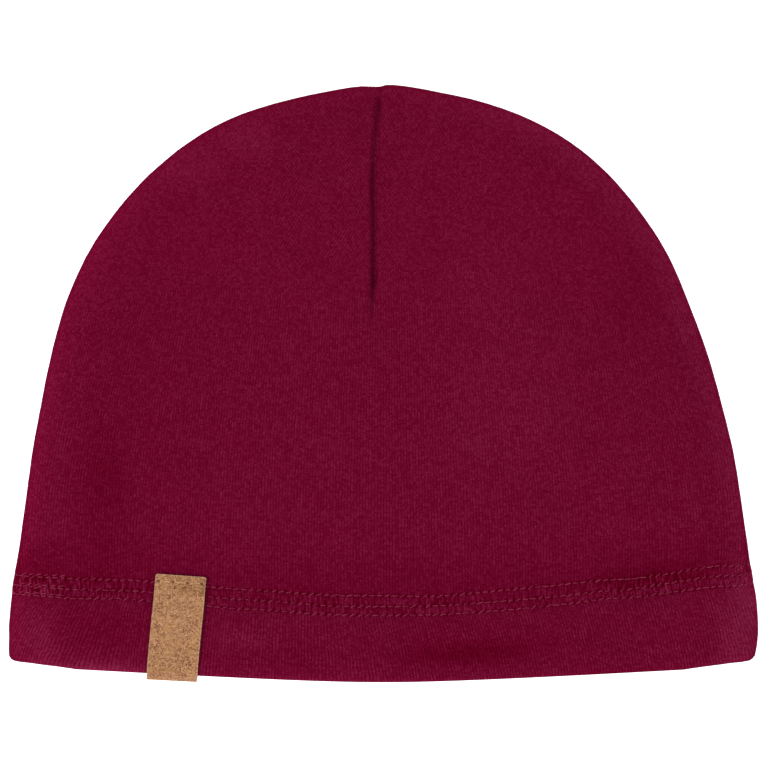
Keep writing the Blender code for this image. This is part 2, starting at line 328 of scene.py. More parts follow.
@dataclass
class HatForm:
    """The shape of the flat hat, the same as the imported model's, and the fine relief of its surface.

    The rims are how far in from the outline each panel rounds over, and the roll is how the hem's edge turns
    down. At the rim a share of the stitches' pull is left, and the ripple fades out there.
    """
    width: float = 220.6 * MM
    height: float = 175.6 * MM
    hem_sag: float = 4.9 * MM
    floor_height: float = 0.0
    seam_height: float = 5.2 * MM
    crown_loft: float = 11.0 * MM
    front_rim: float = 14.5 * MM
    back_rim: float = 9.0 * MM
    wall: float = 1.6 * MM
    ply_gap: float = 0.3 * MM
    seam_gap: float = 0.4 * MM
    seam_face: float = 0.8 * MM
    hem_depth: float = 24.5 * MM
    roll_depth: float = 1.7 * MM
    roll_height: float = 5.5 * MM
    roll_limit: float = 1.2
    bend_softness: float = 0.25
    stitches_at_rim: float = 0.4
    outline_samples: int = 360
    points_at_once: int = 1500
    valley: Valley = field(default_factory=Valley)
    dart: Dart = field(default_factory=Dart)
    stitch: CoverStitch = field(default_factory=CoverStitch)
    knit: KnitCourse = field(default_factory=KnitCourse)
    ripple: SoftWaves = SoftWaves(0.20 * MM, 16.0 * MM, 60.0 * MM, 11)
    ripple_fade: float = 10.0 * MM
    nap: SoftWaves = SoftWaves(0.022 * MM, 3.2 * MM, 9.0 * MM, 12, 26)
    back_relief: float = 0.5

    def __post_init__(self) -> None:
        """Prepares the curves through the levels and the outline."""
        self.phases: dict[tuple[Face, int], tuple[Array, Array]] = {}
        self.stations = np.sqrt(1.0 - LEVELS[::-1, 0])
        self.curves: dict[str, tuple[Array, Array]] = {}
        for index, name in enumerate(LEVEL_COLUMNS):
            values = LEVELS[::-1, index + 1]
            self.curves[name] = (values, self.slopes(values))
        shares = np.linspace(1.0, 0.0, self.outline_samples)
        heights = self.side_height * (1.0 - shares ** 2)
        left = self.plan(np.full(len(heights), -1.0), heights)
        right = self.plan(np.full(len(heights), 1.0), heights[::-1])
        self.edge = np.concatenate([left, right[1:]])
        along = np.gradient(self.edge, axis=0)
        outward = np.stack([-along[:, 1], along[:, 0]], axis=1)
        self.edge_outward = outward / np.linalg.norm(outward, axis=1)[:, None]

    @property
    def side_height(self) -> float:
        """The way from the hem's ends to the top of the crown."""
        return self.height - self.hem_sag

    @property
    def hem_half(self) -> float:
        """Half the thickness of the folded hem."""
        return self.wall + self.ply_gap / 2.0

    @property
    def valley_height(self) -> float:
        """Height of the valley's floor above the hem edge."""
        return self.hem_depth + self.valley.above_hem

    def slopes(self, values: Array) -> Array:
        """Slopes of a curve through the levels that never swings past any of them.

        Args:
            values: one column of the levels, from the top down.

        Returns:
            One slope for each level.
        """
        steps = np.diff(values) / np.diff(self.stations)
        slopes = np.concatenate([steps[:1], np.zeros(len(steps) - 1), steps[-1:]])
        same_way = steps[:-1] * steps[1:] > 0.0
        before, after = steps[:-1][same_way], steps[1:][same_way]
        slopes[1:-1][same_way] = 2.0 * before * after / (before + after)
        return slopes

    def level(self, name: str, rise: Array) -> Array:
        """A column of the levels on its smooth curve.

        Args:
            name: the column.
            rise: shares of the way to the top.

        Returns:
            One value for each share.
        """
        values, slopes = self.curves[name]
        at = np.sqrt(1.0 - np.clip(rise, 0.0, 1.0))
        index = np.clip(np.searchsorted(self.stations, at, side="right") - 1, 0, len(self.stations) - 2)
        step = self.stations[index + 1] - self.stations[index]
        share = (at - self.stations[index]) / step
        square, cube = share ** 2, share ** 3
        return ((2 * cube - 3 * square + 1) * values[index]
                + (cube - 2 * square + share) * step * slopes[index]
                + (3 * square - 2 * cube) * values[index + 1]
                + (cube - square) * step * slopes[index + 1])

    def dart_x(self, height: Array) -> Array:
        """Where the dart's line stands at each height; below the dart it fades to the middle.

        Args:
            height: heights above the hem's ends.

        Returns:
            One place across for each height.
        """
        end = self.side_height - self.dart.length
        share = (height - end) / self.dart.length
        above = self.dart.end_place + (self.dart.top_place - self.dart.end_place) * share
        below = self.dart.end_place * np.clip(height / end, 0.0, None)
        stray = sum(far * bell(share - place, reach) for place, reach, far in self.dart.wander)
        return np.where(height >= end, above, below) * self.width / 2.0 + stray

    def bend(self, share: Array) -> Array:
        """How far a level has risen from its middle at a share of half the width."""
        floor = self.bend_softness
        return (np.hypot(share, floor) - floor) / (math.hypot(1.0, floor) - floor)

    def plan(self, across: Array, height: Array) -> Array:
        """Points of the flat outline.

        Args:
            across: shares from -1 at the left edge to 1 at the right, with 0 on the dart.
            height: heights above the hem's ends.

        Returns:
            Rows of x and y.
        """
        rise = height / self.side_height
        tilt = self.level("tilt", rise) * self.hem_sag
        side = np.where(across < 0.0, -1.0, 1.0)
        end_rise = (height + side * tilt) / self.side_height
        reach = np.where(across < 0.0, self.level("left", end_rise), self.level("right", end_rise))
        middle = self.dart_x(height)
        x = middle + np.abs(across) * (side * reach * self.width / 2.0 - middle)
        bend = self.bend(2.0 * x / self.width)
        sag = self.level("sag", rise) * self.hem_sag * (1.0 - bend)
        dart = self.dart
        left_of_it = middle - x
        step = smooth(left_of_it / dart.step_width) * smooth((dart.step_reach - left_of_it) / dart.step_reach)
        sag = sag + dart.step * step * smooth(1.0 - (self.side_height - height) / dart.step_reach)
        y = height - sag + np.where(x < 0.0, -tilt, tilt) * bend
        return np.stack([x, y - self.height / 2.0 + self.hem_sag], axis=1)

    def across_at(self, x: Array, height: Array) -> Array:
        """The share across the hat of places left of the dart's line.

        Args:
            x: places across the hat.
            height: their heights above the hem's ends.

        Returns:
            One share for each place.
        """
        reach = self.level("left", height / self.side_height) * self.width / 2.0
        middle = self.dart_x(height)
        return (x - middle) / (reach + middle)

    def edge_distance(self, plan: Array) -> tuple[Array, Array]:
        """How far points lie inside the outline.

        Args:
            plan: rows of x and y.

        Returns:
            The distances, and the outward directions of the edge there.
        """
        starts, runs = self.edge[:-1], np.diff(self.edge, axis=0)
        squares = np.sum(runs * runs, axis=1)
        gaps, outwards = [], []
        for part in np.array_split(plan, max(1, len(plan) // self.points_at_once)):
            offset = part[:, None, :] - starts[None, :, :]
            share = np.clip(np.sum(offset * runs, axis=2) / squares, 0.0, 1.0)
            gap = np.linalg.norm(offset - share[:, :, None] * runs, axis=2)
            nearest = gap.argmin(axis=1)
            row = np.arange(len(part))
            blend = share[row, nearest][:, None]
            outward = self.edge_outward[nearest] * (1.0 - blend) + self.edge_outward[nearest + 1] * blend
            gaps.append(gap[row, nearest])
            outwards.append(outward / np.linalg.norm(outward, axis=1)[:, None])
        return np.concatenate(gaps), np.concatenate(outwards)

    def valley_sink(self, height: Array) -> Array:
        """Depth of the stitched valley.

        Args:
            height: heights above the hem's ends.

        Returns:
            One depth for each height.
        """
        above = height - self.valley_height
        span = np.where(above > 0.0, self.valley.crown_side, self.valley.hem_side)
        return self.valley.depth * (1.0 - smooth(np.abs(above) / span))

    def spots(self, table: Table, x: Array, height: Array) -> Array:
        """The sum of soft round spots.

        Args:
            table: each spot's place across, share of the way up, reach of both and strength.
            x: places across the hat.
            height: heights above the hem's ends.

        Returns:
            One value for each place.
        """
        total = np.zeros_like(x)
        for place, rise, reach_x, reach_rise, strength in table:
            aside = (2.0 * x / self.width - place) / reach_x
            along = (height / self.side_height - rise) / reach_rise
            total += strength * (1.0 - smooth(np.hypot(aside, along)))
        return total

    def dent_sink(self, x: Array, height: Array) -> Array:
        """Depth of the front's soft dents."""
        return self.wall * self.spots(DENTS, x, height)

    def dart_sink(self, x: Array, height: Array) -> Array:
        """Depth of the dart's groove and crease, less the height of its lips.

        Args:
            x: places across the hat.
            height: heights above the hem's ends.

        Returns:
            One depth for each place.
        """
        dart = self.dart
        above_end = height - self.side_height + dart.length
        aside = x - self.dart_x(height)
        groove = np.clip(1.0 - np.abs(aside) / dart.groove_half_width, 0.0, 1.0) ** dart.sharpness
        crease = dart.crease_depth * bell(aside, dart.crease_reach)
        lips = dart.lip_height * (dart.left_lip * bell(aside + dart.lip_place, dart.lip_reach)
                                  + bell(aside - dart.lip_place, dart.lip_reach))
        deep = between(dart.depths, above_end / dart.length)
        return deep * (dart.groove_depth * groove + crease) - smooth(above_end / dart.lip_fade) * lips

    def row_height(self, index: int, x: Array) -> Array:
        """Height of a row of hem stitches, which wanders a little.

        Args:
            index: the row, from the hem upwards.
            x: places across the hat.

        Returns:
            One height for each place.
        """
        stitch = self.stitch
        seed = stitch.wander_seed + index
        waves = SoftWaves(stitch.wander, *stitch.wander_lengths, seed, stitch.wander_waves)
        course = between(stitch.course, 2.0 * x / self.width) * MM
        return stitch.rows[index] + course + waves.at(x, np.zeros_like(x))

    def row_line(self, index: int, start: float, end: float, count: int,
                 shift: float = 0.0) -> tuple[Array, Array]:
        """The course of a row of hem stitches.

        Args:
            index: the row, from the hem upwards.
            start: the share across the hat where it starts.
            end: the share where it ends.
            count: how many places it has.
            shift: how far it is moved up.

        Returns:
            Shares across the hat and heights.
        """
        across = np.linspace(start, end, count)
        x = self.plan(across, np.full(count, self.stitch.rows[index]))[:, 0]
        return across, self.row_height(index, x) + shift

    def row_phase(self, face: Face, index: int, x: Array) -> Array:
        """How many stitches of a row lie before each place.

        Args:
            face: the panel.
            index: the row, from the hem upwards.
            x: places across the hat.

        Returns:
            One count for each place.
        """
        if (face, index) not in self.phases:
            margin = self.stitch.margin
            across, height = self.row_line(index, -margin, margin, self.outline_samples * 2)
            spots = self.points(across, height, np.zeros(len(across)), face, sewn=False)
            way = np.concatenate([[0.0], np.cumsum(np.linalg.norm(np.diff(spots, axis=0), axis=1))])
            stitches = math.floor(way[-1] / self.stitch.pitch)
            self.phases[face, index] = spots[:, 0], way / way[-1] * stitches
        return np.interp(x, *self.phases[face, index])

    def gathering(self, x: Array) -> Array:
        """How much the cloth is drawn up between the rows.

        Args:
            x: places across the hat.

        Returns:
            One number for each place.
        """
        side = 2.0 * x / self.width
        drawn = sum(more * bell(side - place, reach) for place, reach, more in self.stitch.gathers)
        return self.stitch.gathering + drawn

    def sewn_places(self, face: Face, across: Array, height: Array) -> Array:
        """Places in the stitched band.

        Args:
            face: the panel.
            across: shares across the hat.
            height: heights above the hem's ends.

        Returns:
            Rows of how many stitches lie before, the number of rows below, and the gathering.
        """
        x = self.plan(across, height)[:, 0]
        rows = np.array([self.row_height(index, x) for index in range(len(self.stitch.rows))])
        numbers = np.where(height < rows[1], (height - rows[0]) / (rows[1] - rows[0]),
                           1.0 + (height - rows[1]) / (rows[2] - rows[1]))
        nearest = np.clip(np.round(numbers), 0, len(rows) - 1)
        phases = np.choose(nearest.astype(int), [self.row_phase(face, index, x) for index in range(len(rows))])
        return np.column_stack([phases, numbers, self.gathering(x)])

    def stitched_sink(self, face: Face, x: Array, height: Array) -> Array:
        """How far the thread pulls the cloth in along its rows, less the puckers between them.

        Args:
            face: the panel.
            x: places across the hat.
            height: heights above the hem's ends.

        Returns:
            One depth for each place.
        """
        stitch = self.stitch
        total = np.zeros_like(x)
        rows = [self.row_height(index, x) for index in range(len(stitch.rows))]
        for index, row in enumerate(rows):
            pull = stitch.pull - stitch.pull_swing * np.cos(TURN * self.row_phase(face, index, x))
            total += stitch.row_depth * pull * bell(height - row, stitch.row_reach)
        limit = stitch.pucker_limit
        band = np.clip(stitch.puckers.at(x, stitch.pucker_stretch * height), -limit, limit)
        edge = stitch.band_edge
        above, below = height - rows[0], rows[-1] - height
        inside = smooth((above + edge) / (2.0 * edge)) * smooth((below + edge) / (2.0 * edge))
        return total - stitch.pucker_height * self.gathering(x) * inside * band

    def points(self, across: Array, height: Array, depth: Array, face: Face, relief: Array | float = 1.0,
               foot: Array | float | None = None, tuck: Array | float = 0.0, sewn: bool = True) -> Array:
        """Points of a panel.

        Args:
            across: shares across the hat, from -1 to 1.
            height: heights above the hem's ends.
            depth: how far the points lie inside the outer face.
            face: the panel.
            relief: the share of the fine relief that they follow.
            foot: how far they stand off the seam's level where they reach the edge.
            tuck: how far they are drawn in at the edge.
            sewn: whether they follow the pull of the hem's thread.

        Returns:
            Rows of x, y and z.
        """
        plan = self.plan(across, height)
        inside, outward = self.edge_distance(plan)
        inside = np.where((np.abs(across) >= 1.0) | (height >= self.side_height), 0.0, inside)
        front = face is Face.FRONT
        lean = np.clip(1.0 - inside / (self.front_rim if front else self.back_rim), 0.0, 1.0)
        lift = np.sqrt(1.0 - lean ** 2)
        if foot is None:
            foot = self.seam_gap / 2.0 + self.seam_face
        if front:
            loft = self.level("loft", height / self.side_height) * self.crown_loft
        else:
            loft = self.seam_height
        x = plan[:, 0]
        dart = self.dart_sink(x, height) * (1.0 - (1.0 - self.dart.edge_share) * lean)
        roll = self.roll_depth * np.clip(1.0 - height / self.roll_height, 0.0, self.roll_limit) ** 2
        sink = depth + dart + self.valley_sink(height) * lift + tuck
        if sewn:
            left = self.stitches_at_rim + (1.0 - self.stitches_at_rim) * lift
            sink = sink + relief * self.stitched_sink(face, x, height) * left
        waves = self.ripple.at(x, height) * smooth(inside / self.ripple_fade) + self.nap.at(x, height)
        sink = sink - relief * waves * (1.0 if front else self.back_relief)
        if front:
            sink = sink + self.dent_sink(x, height) * lift
        rise = foot + (loft - foot) * lift - (sink + roll * lift) * lift
        z = self.seam_height + face.value * rise
        return np.column_stack([plan - (sink * lean)[:, None] * outward, z])

    def knit_places(self, face: Face, across: Array, height: Array, along: Array) -> tuple[Array, Array]:
        """Places of the knit's loops on the cloth.

        Args:
            face: the panel.
            across: shares across the hat.
            height: heights above the hem's ends.
            along: the way up the cloth from the hem's fold, below 0 on the turned-up side.

        Returns:
            Two sets of rows: the upright knit's place across and along with the painted light and shade there,
                and
            the slanting knit's with the share that it takes.
        """
        knit, low = self.knit, self.stitch.rows[1]
        x = self.plan(across, height)[:, 0]
        below = np.clip(low - height, 0.0, None)
        lean = between(knit.hem_lean, 2.0 * x / self.width) * below * (1.0 - knit.lean_ease * below / low)
        drawn = 1.0 + knit.draw * knit.draw_rise * smooth_rise((height - knit.draw_start) / knit.draw_rise)
        painted_light = np.zeros_like(x)
        # Painted light and shade on the front only: the listed patches, a painted highlight inside the right
        # half of the outline and a painted shade close along all of it.
        if face is Face.FRONT:
            inside, _ = self.edge_distance(self.plan(across, height))
            light = smooth(x / (knit.rim_painted_light_side * self.width))
            painted_light = self.spots(PAINTED_LIGHT_MARKS, x, height)
            painted_light += knit.rim_painted_light * light * smooth(knit.rim_painted_light_hold - inside / knit.rim_painted_light_reach)
            painted_light -= knit.rim_painted_shade * smooth(1.0 - inside / knit.rim_painted_shade_reach)
        upright = np.column_stack([x * drawn + lean, along, painted_light])
        aside = x - self.dart_x(height)
        left, out = aside < 0.0, np.abs(aside)
        above = height - (self.side_height - self.dart.length)
        reach = np.where(left, knit.left_reach, knit.right_reach)
        fade = np.where(left, knit.left_fade, knit.right_fade)
        share = smooth((reach - out) / fade) * smooth((above - knit.slant_start) / knit.slant_rise)
        patches = (knit.patch_share * smooth((knit.patch_reach - out) / knit.patch_fade)
                   * smooth((above - knit.patch_start) / knit.patch_rise))
        share = np.maximum(share, patches) * smooth(out / knit.seam_reach)
        cosine, sine = math.cos(knit.slant), math.sin(knit.slant)
        leaning = np.column_stack([knit.slant_closeness * (out * cosine + height * sine),
                                   height * cosine - out * sine, share])
        return upright, leaning


class Wire:
    """A socket of a node tree that Python's operators turn into Math nodes."""

    def __init__(self, bench: "Bench", socket: bpy.types.NodeSocket) -> None:
        """Keeps the tree's bench and the socket."""
        self.bench = bench
        self.socket = socket

    def math(self, operation: str, *others: "Wire | float") -> "Wire":
        """A Math node on this wire and the values after it."""
        return self.bench.wire("ShaderNodeMath", {"operation": operation}, dict(enumerate((self, *others))))

    def after(self, operation: str, first: float) -> "Wire":
        """A Math node with a number before this wire."""
        return self.bench.wire("ShaderNodeMath", {"operation": operation}, {0: first, 1: self})

    __add__ = __radd__ = partialmethod(math, "ADD")
    __sub__ = partialmethod(math, "SUBTRACT")
    __rsub__ = partialmethod(after, "SUBTRACT")
    __mul__ = __rmul__ = partialmethod(math, "MULTIPLY")
    __truediv__ = partialmethod(math, "DIVIDE")
    __abs__ = partialmethod(math, "ABSOLUTE")
    fraction = partialmethod(math, "FRACT")
    whole = partialmethod(math, "FLOOR")

    def sine(self) -> "Wire":
        """The sine of whole turns."""
        return (self * TURN).math("SINE")

    def ramp(self, low: float, high: float) -> "Wire":
        """A smooth step.

        Args:
            low: where it is 0.
            high: where it is 1.

        Returns:
            The step.
        """
        return self.bench.wire("ShaderNodeMapRange", {"interpolation_type": "SMOOTHSTEP"},
                               {"Value": self, "From Min": low, "From Max": high})

    def spread(self) -> "Wire":
        """Noise, which keeps near 0.5, spread over the way from 0 to 1."""
        return self.ramp(0.36, 0.64)


class Bench:
    """Makes the nodes of one tree."""

    def __init__(self, tree: bpy.types.NodeTree) -> None:
        """Keeps the tree."""
        self.tree = tree

    def node(self, kind: str, settings: dict[str, Setting] | None = None,
             inputs: dict[str | int, Setting] | None = None) -> bpy.types.Node:
        """Makes a node.

        Args:
            kind: the node's type.
            settings: its settings, with a ramp's stops as pairs of place and colour.
            inputs: values or wires for its sockets, by number, or by name among those that the settings open.

        Returns:
            The node.
        """
        made = self.tree.nodes.new(kind)
        for name, value in (settings or {}).items():
            if name == "stops":
                while len(made.color_ramp.elements) < len(value):
                    made.color_ramp.elements.new(1.0)
                for stop, (place, colour) in zip(made.color_ramp.elements, value):
                    stop.position, stop.color = place, (*colour, 1.0)
            else:
                setattr(made, name, value)
        for name, value in (inputs or {}).items():
            socket = made.inputs[name] if isinstance(name, int) else next(
                socket for socket in made.inputs if socket.name == name and socket.enabled)
            if isinstance(value, Wire):
                self.tree.links.new(value.socket, socket)
            else:
                socket.default_value = value
        return made

    def wire(self, kind: str, settings: dict[str, Setting] | None = None,
             inputs: dict[str | int, Setting] | None = None, output: str | None = None) -> Wire:
        """Makes a node and gives one of its outputs.

        Args:
            kind: the node's type.
            settings: its settings.
            inputs: values or wires for its sockets.
            output: the output's name; without one it is the first that the settings open.

        Returns:
            The output.
        """
        made = self.node(kind, settings, inputs)
        if output:
            return Wire(self, made.outputs[output])
        return Wire(self, next(socket for socket in made.outputs if socket.enabled))

    def parts(self, vector: Wire) -> tuple[Wire, Wire, Wire]:
        """The three numbers of a vector."""
        made = self.node("ShaderNodeSeparateXYZ", inputs={0: vector})
        return tuple(Wire(self, socket) for socket in made.outputs)

    def vector(self, x: Wire | float, y: Wire | float, z: Wire | float = 0.0) -> Wire:
        """A vector from three numbers."""
        return self.wire("ShaderNodeCombineXYZ", inputs={0: x, 1: y, 2: z})


class MaterialBench(Bench):
    """Makes the nodes of one material."""

    def __init__(self, name: str) -> None:
        """Makes the empty material."""
        self.material = bpy.data.materials.new(name)
        self.material.use_nodes = True
        super().__init__(self.material.node_tree)
        self.tree.nodes.clear()

    def attribute(self, name: str) -> Wire:
        """The vector that a piece's mesh carries under a name."""
        return self.wire("ShaderNodeAttribute", {"attribute_name": name}, output="Vector")

    def place(self) -> Wire:
        """The place on the piece."""
        return self.wire("ShaderNodeTexCoord", output="Object")

    def noise(self, where: Wire, scale: float, detail: float = 2.0, roughness: float = 0.5) -> Wire:
        """Soft noise.

        Args:
            where: the place to read it at.
            scale: how many lumps a unit holds.
            detail: how many finer layers it has.
            roughness: how strong they are.

        Returns:
            The noise, about 0.5.
        """
        return self.wire("ShaderNodeTexNoise", inputs={"Vector": where, "Scale": scale, "Detail": detail,
                                                       "Roughness": roughness}, output="Fac")

    def blend(self, share: Wire | float, low: Wire | Colour, high: Wire | Colour) -> Wire:
        """Two colours mixed.

        Args:
            share: how much of the second shows.
            low: the first colour.
            high: the second colour.

        Returns:
            The colour.
        """
        pair = [value if isinstance(value, Wire) else (*value, 1.0) for value in (low, high)]
        return self.wire("ShaderNodeMix", {"data_type": "RGBA"}, {"Factor": share, "A": pair[0], "B": pair[1]})

    def finish(self, colour: Wire, roughness: Wire, relief: Wire, relief_depth: float,
               fixed: dict[str, Setting]) -> bpy.types.Material:
        """Closes the material with its shader.

        Args:
            colour: the base colour.
            roughness: the roughness.
            relief: the height of the fine relief, from 0 to 1.
            relief_depth: how far that relief stands.
            fixed: values of the shader's sockets that are the same all over.

        Returns:
            The material.
        """
        bump = self.wire("ShaderNodeBump", inputs={"Strength": 1.0, "Distance": relief_depth, "Height": relief})
        shader = self.wire("ShaderNodeBsdfPrincipled",
                           inputs={"Base Color": colour, "Roughness": roughness, "Normal": bump, **fixed})
        self.node("ShaderNodeOutputMaterial", inputs={"Surface": shader})
        return self.material

    def cells(self, where: Wire, scale: float, output: str) -> Wire:
        """Small irregular cells: the distance from their middles, or a random colour for each.

        Args:
            where: the place to read them at.
            scale: how many cells a unit holds.
            output: the name of the node's output.

        Returns:
            That output.
        """
        return self.wire("ShaderNodeTexVoronoi", {"feature": "F1"},
                         {"Vector": where, "Scale": scale, "Randomness": 1.0}, output)


@dataclass(frozen=True)
class KnitFinish:
    """Brushed cotton knit: columns of small loops, lighter fibres here and there, and a soft sheen.

    A weight says how much of its part shows in the cloth's shade or in a loop's height. Over the brush's rise
    the brushed pile comes to hide the upright loops, which stay clearest in the hem. Painted shade darkens the
    cloth where the needle goes in and where the cloth is drawn up above the stitches, and painted light and
    shade mark the puckers between the rows. The spans of the stitched band count in rows of stitches: where the
    cloth beside a row, the puckers' painted light and shade between the rows and the drawn-up cloth's painted
    shade start and end.
    """
    name: str = "wine_knit"
    shades: tuple[Colour, ...] = ((0.0650, 0.0001, 0.0020), (0.0975, 0.0002, 0.0100), (0.1370, 0.0020, 0.0222),
                                  (0.1840, 0.0102, 0.0408), (0.2390, 0.0220, 0.0660))
    column: float = 0.885 * MM
    loop: float = 0.66 * MM
    loop_slant: float = 0.75
    leg_place: float = 0.8
    leg_narrowness: float = 1.9
    column_weight: float = 0.70
    leg_weight: float = 0.12
    turn_weight: float = 0.18
    mean_loop: float = 0.55
    sway: float = 0.9 * MM
    slanting_sway: float = 0.7
    patchiness: float = 1.6
    brush_rise: Span = (96.0 * MM, 134.0 * MM)
    brushed: float = 0.62
    hem_rise: Span = (18.0 * MM, 26.0 * MM)
    hem_clearness: float = 0.4
    clearness: float = 0.36
    clearness_swing: float = 1.1
    loop_weight: float = 0.22
    fuzz_weight: float = 1.15
    speckle_weight: float = 0.18
    mottle_weight: float = 0.05
    rib_shade_weight: float = 0.36
    rib_stretch: float = 0.20
    rib_foot: Span = (-0.20, 0.08)
    rib_top: Span = (1.92, 2.20)
    hole_shade_weight: float = 0.27
    hole_shift: float = 0.3
    hole_centre: float = 0.1
    hole_side: Span = (0.15, 0.75)
    row_side: Span = (0.04, 0.30)
    drawn_shade_weight: float = 0.06
    drawn_shade_foot: Span = (-0.80, 1.80)
    drawn_shade_top: Span = (1.8, 7.0)
    roughness: float = 0.93
    roughness_swing: float = 0.07
    relief_loops: float = 0.8
    relief_fuzz: float = 0.35
    relief_depth: float = 0.14 * MM

    def loops(self, across: Wire, along: Wire) -> Wire:
        """Height of the loops, from 0 between the columns to 1 on a loop's leg.

        Args:
            across: the place across the columns.
            along: the place along them.

        Returns:
            The height.
        """
        aside = abs((across / self.column).fraction() - 0.5) * 2.0
        round_column = 1.0 - aside * aside
        leg = 1.0 - abs(aside * self.leg_narrowness - self.leg_place)
        turn = (along / self.loop + aside * self.loop_slant).sine() * 0.5 + 0.5
        return round_column * (self.column_weight + self.leg_weight * leg + self.turn_weight * turn)

    def speckle(self, bench: MaterialBench, across: Wire, along: Wire) -> Wire:
        """A random number for each loop."""
        cell = bench.vector((across / self.column).whole(), (along / self.loop).whole())
        return bench.wire("ShaderNodeTexWhiteNoise", {"noise_dimensions": "2D"}, {"Vector": cell}, "Value")

    def stitching(self, bench: MaterialBench, sewn: tuple[Wire, Wire, Wire], place: Wire) -> Wire:
        """How much lighter or darker the cloth is in the stitched band.

        Args:
            bench: the material's bench.
            sewn: how many stitches lie before, the number of rows below, and the gathering.
            place: the place on the piece.

        Returns:
            The change of its shade.
        """
        before, number, gathering = sewn
        nearest = number.math("ROUND").math("MAXIMUM", 0.0).math("MINIMUM", 2.0)
        off = abs(number - nearest)
        # Painted shade in the needle holes beside each row.
        hole = abs((before + (off - self.hole_centre) * self.hole_shift).fraction() - 0.5) * 2.0
        beside = 1.0 - off.ramp(*self.row_side)
        across, along, _ = bench.parts(place)
        # Painted light and shade of the puckers between the rows.
        stretched = bench.vector(across, along * self.rib_stretch)
        pucker_shading = bench.noise(stretched, scale=1450.0, detail=1.0, roughness=0.6).spread()
        inside = number.ramp(*self.rib_foot) * (1.0 - number.ramp(*self.rib_top))
        # Painted shade over the drawn-up cloth of the stitched band and the valley above it.
        drawn = number.ramp(*self.drawn_shade_foot) * (1.0 - number.ramp(*self.drawn_shade_top))
        drawn = drawn * (gathering * self.drawn_shade_weight + self.drawn_shade_weight / 2.0)
        return ((pucker_shading - 0.5) * inside * gathering * self.rib_shade_weight
                - beside * (1.0 - hole.ramp(*self.hole_side)) * self.hole_shade_weight - drawn)

    def make(self) -> bpy.types.Material:
        """Makes the material.

        Returns:
            The material.
        """
        bench = MaterialBench(self.name)
        place = bench.place()
        upright = bench.parts(bench.attribute("knit_upright"))
        leaning = bench.parts(bench.attribute("knit_leaning"))
        patches = bench.noise(place, scale=300.0, detail=3.0, roughness=0.6)
        share = (leaning[2] + (patches - 0.5) * self.patchiness).spread()
        sway = (bench.noise(place, scale=380.0, detail=2.0, roughness=0.6) - 0.5) * self.sway
        bare = 1.0 - upright[1].ramp(*self.brush_rise) * self.brushed
        upright_loops = (self.loops(upright[0] + sway, upright[1]) - self.mean_loop) * bare + self.mean_loop
        leaning_loops = self.loops(leaning[0] + sway * self.slanting_sway, leaning[1])
        loops = upright_loops + (leaning_loops - upright_loops) * share
        speckle = self.speckle(bench, upright[0], upright[1])
        fuzz = bench.noise(place, scale=2500.0, detail=3.0, roughness=0.8)
        mottle = bench.noise(place, scale=90.0, detail=3.0, roughness=0.6)
        hem = 1.0 - upright[1].ramp(*self.hem_rise)
        worn = bench.noise(place, scale=420.0, detail=2.0, roughness=0.6).spread()
        clear = (worn * self.clearness_swing + self.clearness) * (1.0 + hem * self.hem_clearness)
        shade = 0.5 + (loops - self.mean_loop) * clear * self.loop_weight
        shade = shade + (fuzz - 0.5) * self.fuzz_weight + (speckle - 0.5) * self.speckle_weight
        # The upright attribute's third number adds the panel's painted light and shade.
        shade = shade + (mottle - 0.5) * self.mottle_weight + upright[2]
        shade = shade + self.stitching(bench, bench.parts(bench.attribute("sewn")), place)
        stops = [(index / (len(self.shades) - 1), tone) for index, tone in enumerate(self.shades)]
        colour = bench.wire("ShaderNodeValToRGB", {"stops": stops}, {0: shade})
        relief = loops * self.relief_loops + fuzz * self.relief_fuzz
        fixed = {"Specular IOR Level": 0.0, "Sheen Weight": 0.05, "Sheen Roughness": 0.45,
                 "Sheen Tint": (0.80, 0.10, 0.28, 1.0)}
        roughness = self.roughness + fuzz * self.roughness_swing
        return bench.finish(colour, roughness, relief, self.relief_depth, fixed)


@dataclass(frozen=True)
class ThreadFinish:
    """Twisted sewing thread."""
    name: str
    dark: Colour
    light: Colour
    twist: float = 0.55 * MM
    relief_depth: float = 0.04 * MM
    strand_weight: float = 0.35
    fuzz_weight: float = 0.3
    wear_weight: float = 0.55
    wear_span: Span = (0.36, 0.60)
    mean_wear: float = 0.3
    roughness: float = 0.72
    roughness_swing: float = 0.2
    relief_strand: float = 0.8
    relief_fuzz: float = 0.2

    def make(self) -> bpy.types.Material:
        """Makes the material.

        Returns:
            The material.
        """
        bench = MaterialBench(self.name)
        round_it, along, _ = bench.parts(bench.attribute("thread"))
        strand = abs((round_it * 2.0 + along / self.twist).sine())
        fuzz = bench.noise(bench.place(), scale=5200.0)
        worn = bench.noise(bench.place(), scale=520.0, roughness=0.6).ramp(*self.wear_span)
        shade = strand * self.strand_weight + fuzz * self.fuzz_weight
        shade = shade + (worn - self.mean_wear) * self.wear_weight
        colour = bench.blend(shade, self.dark, self.light)
        roughness = self.roughness + fuzz * self.roughness_swing
        relief = strand * self.relief_strand + fuzz * self.relief_fuzz
        return bench.finish(colour, roughness, relief, self.relief_depth, {"Specular IOR Level": 0.0})


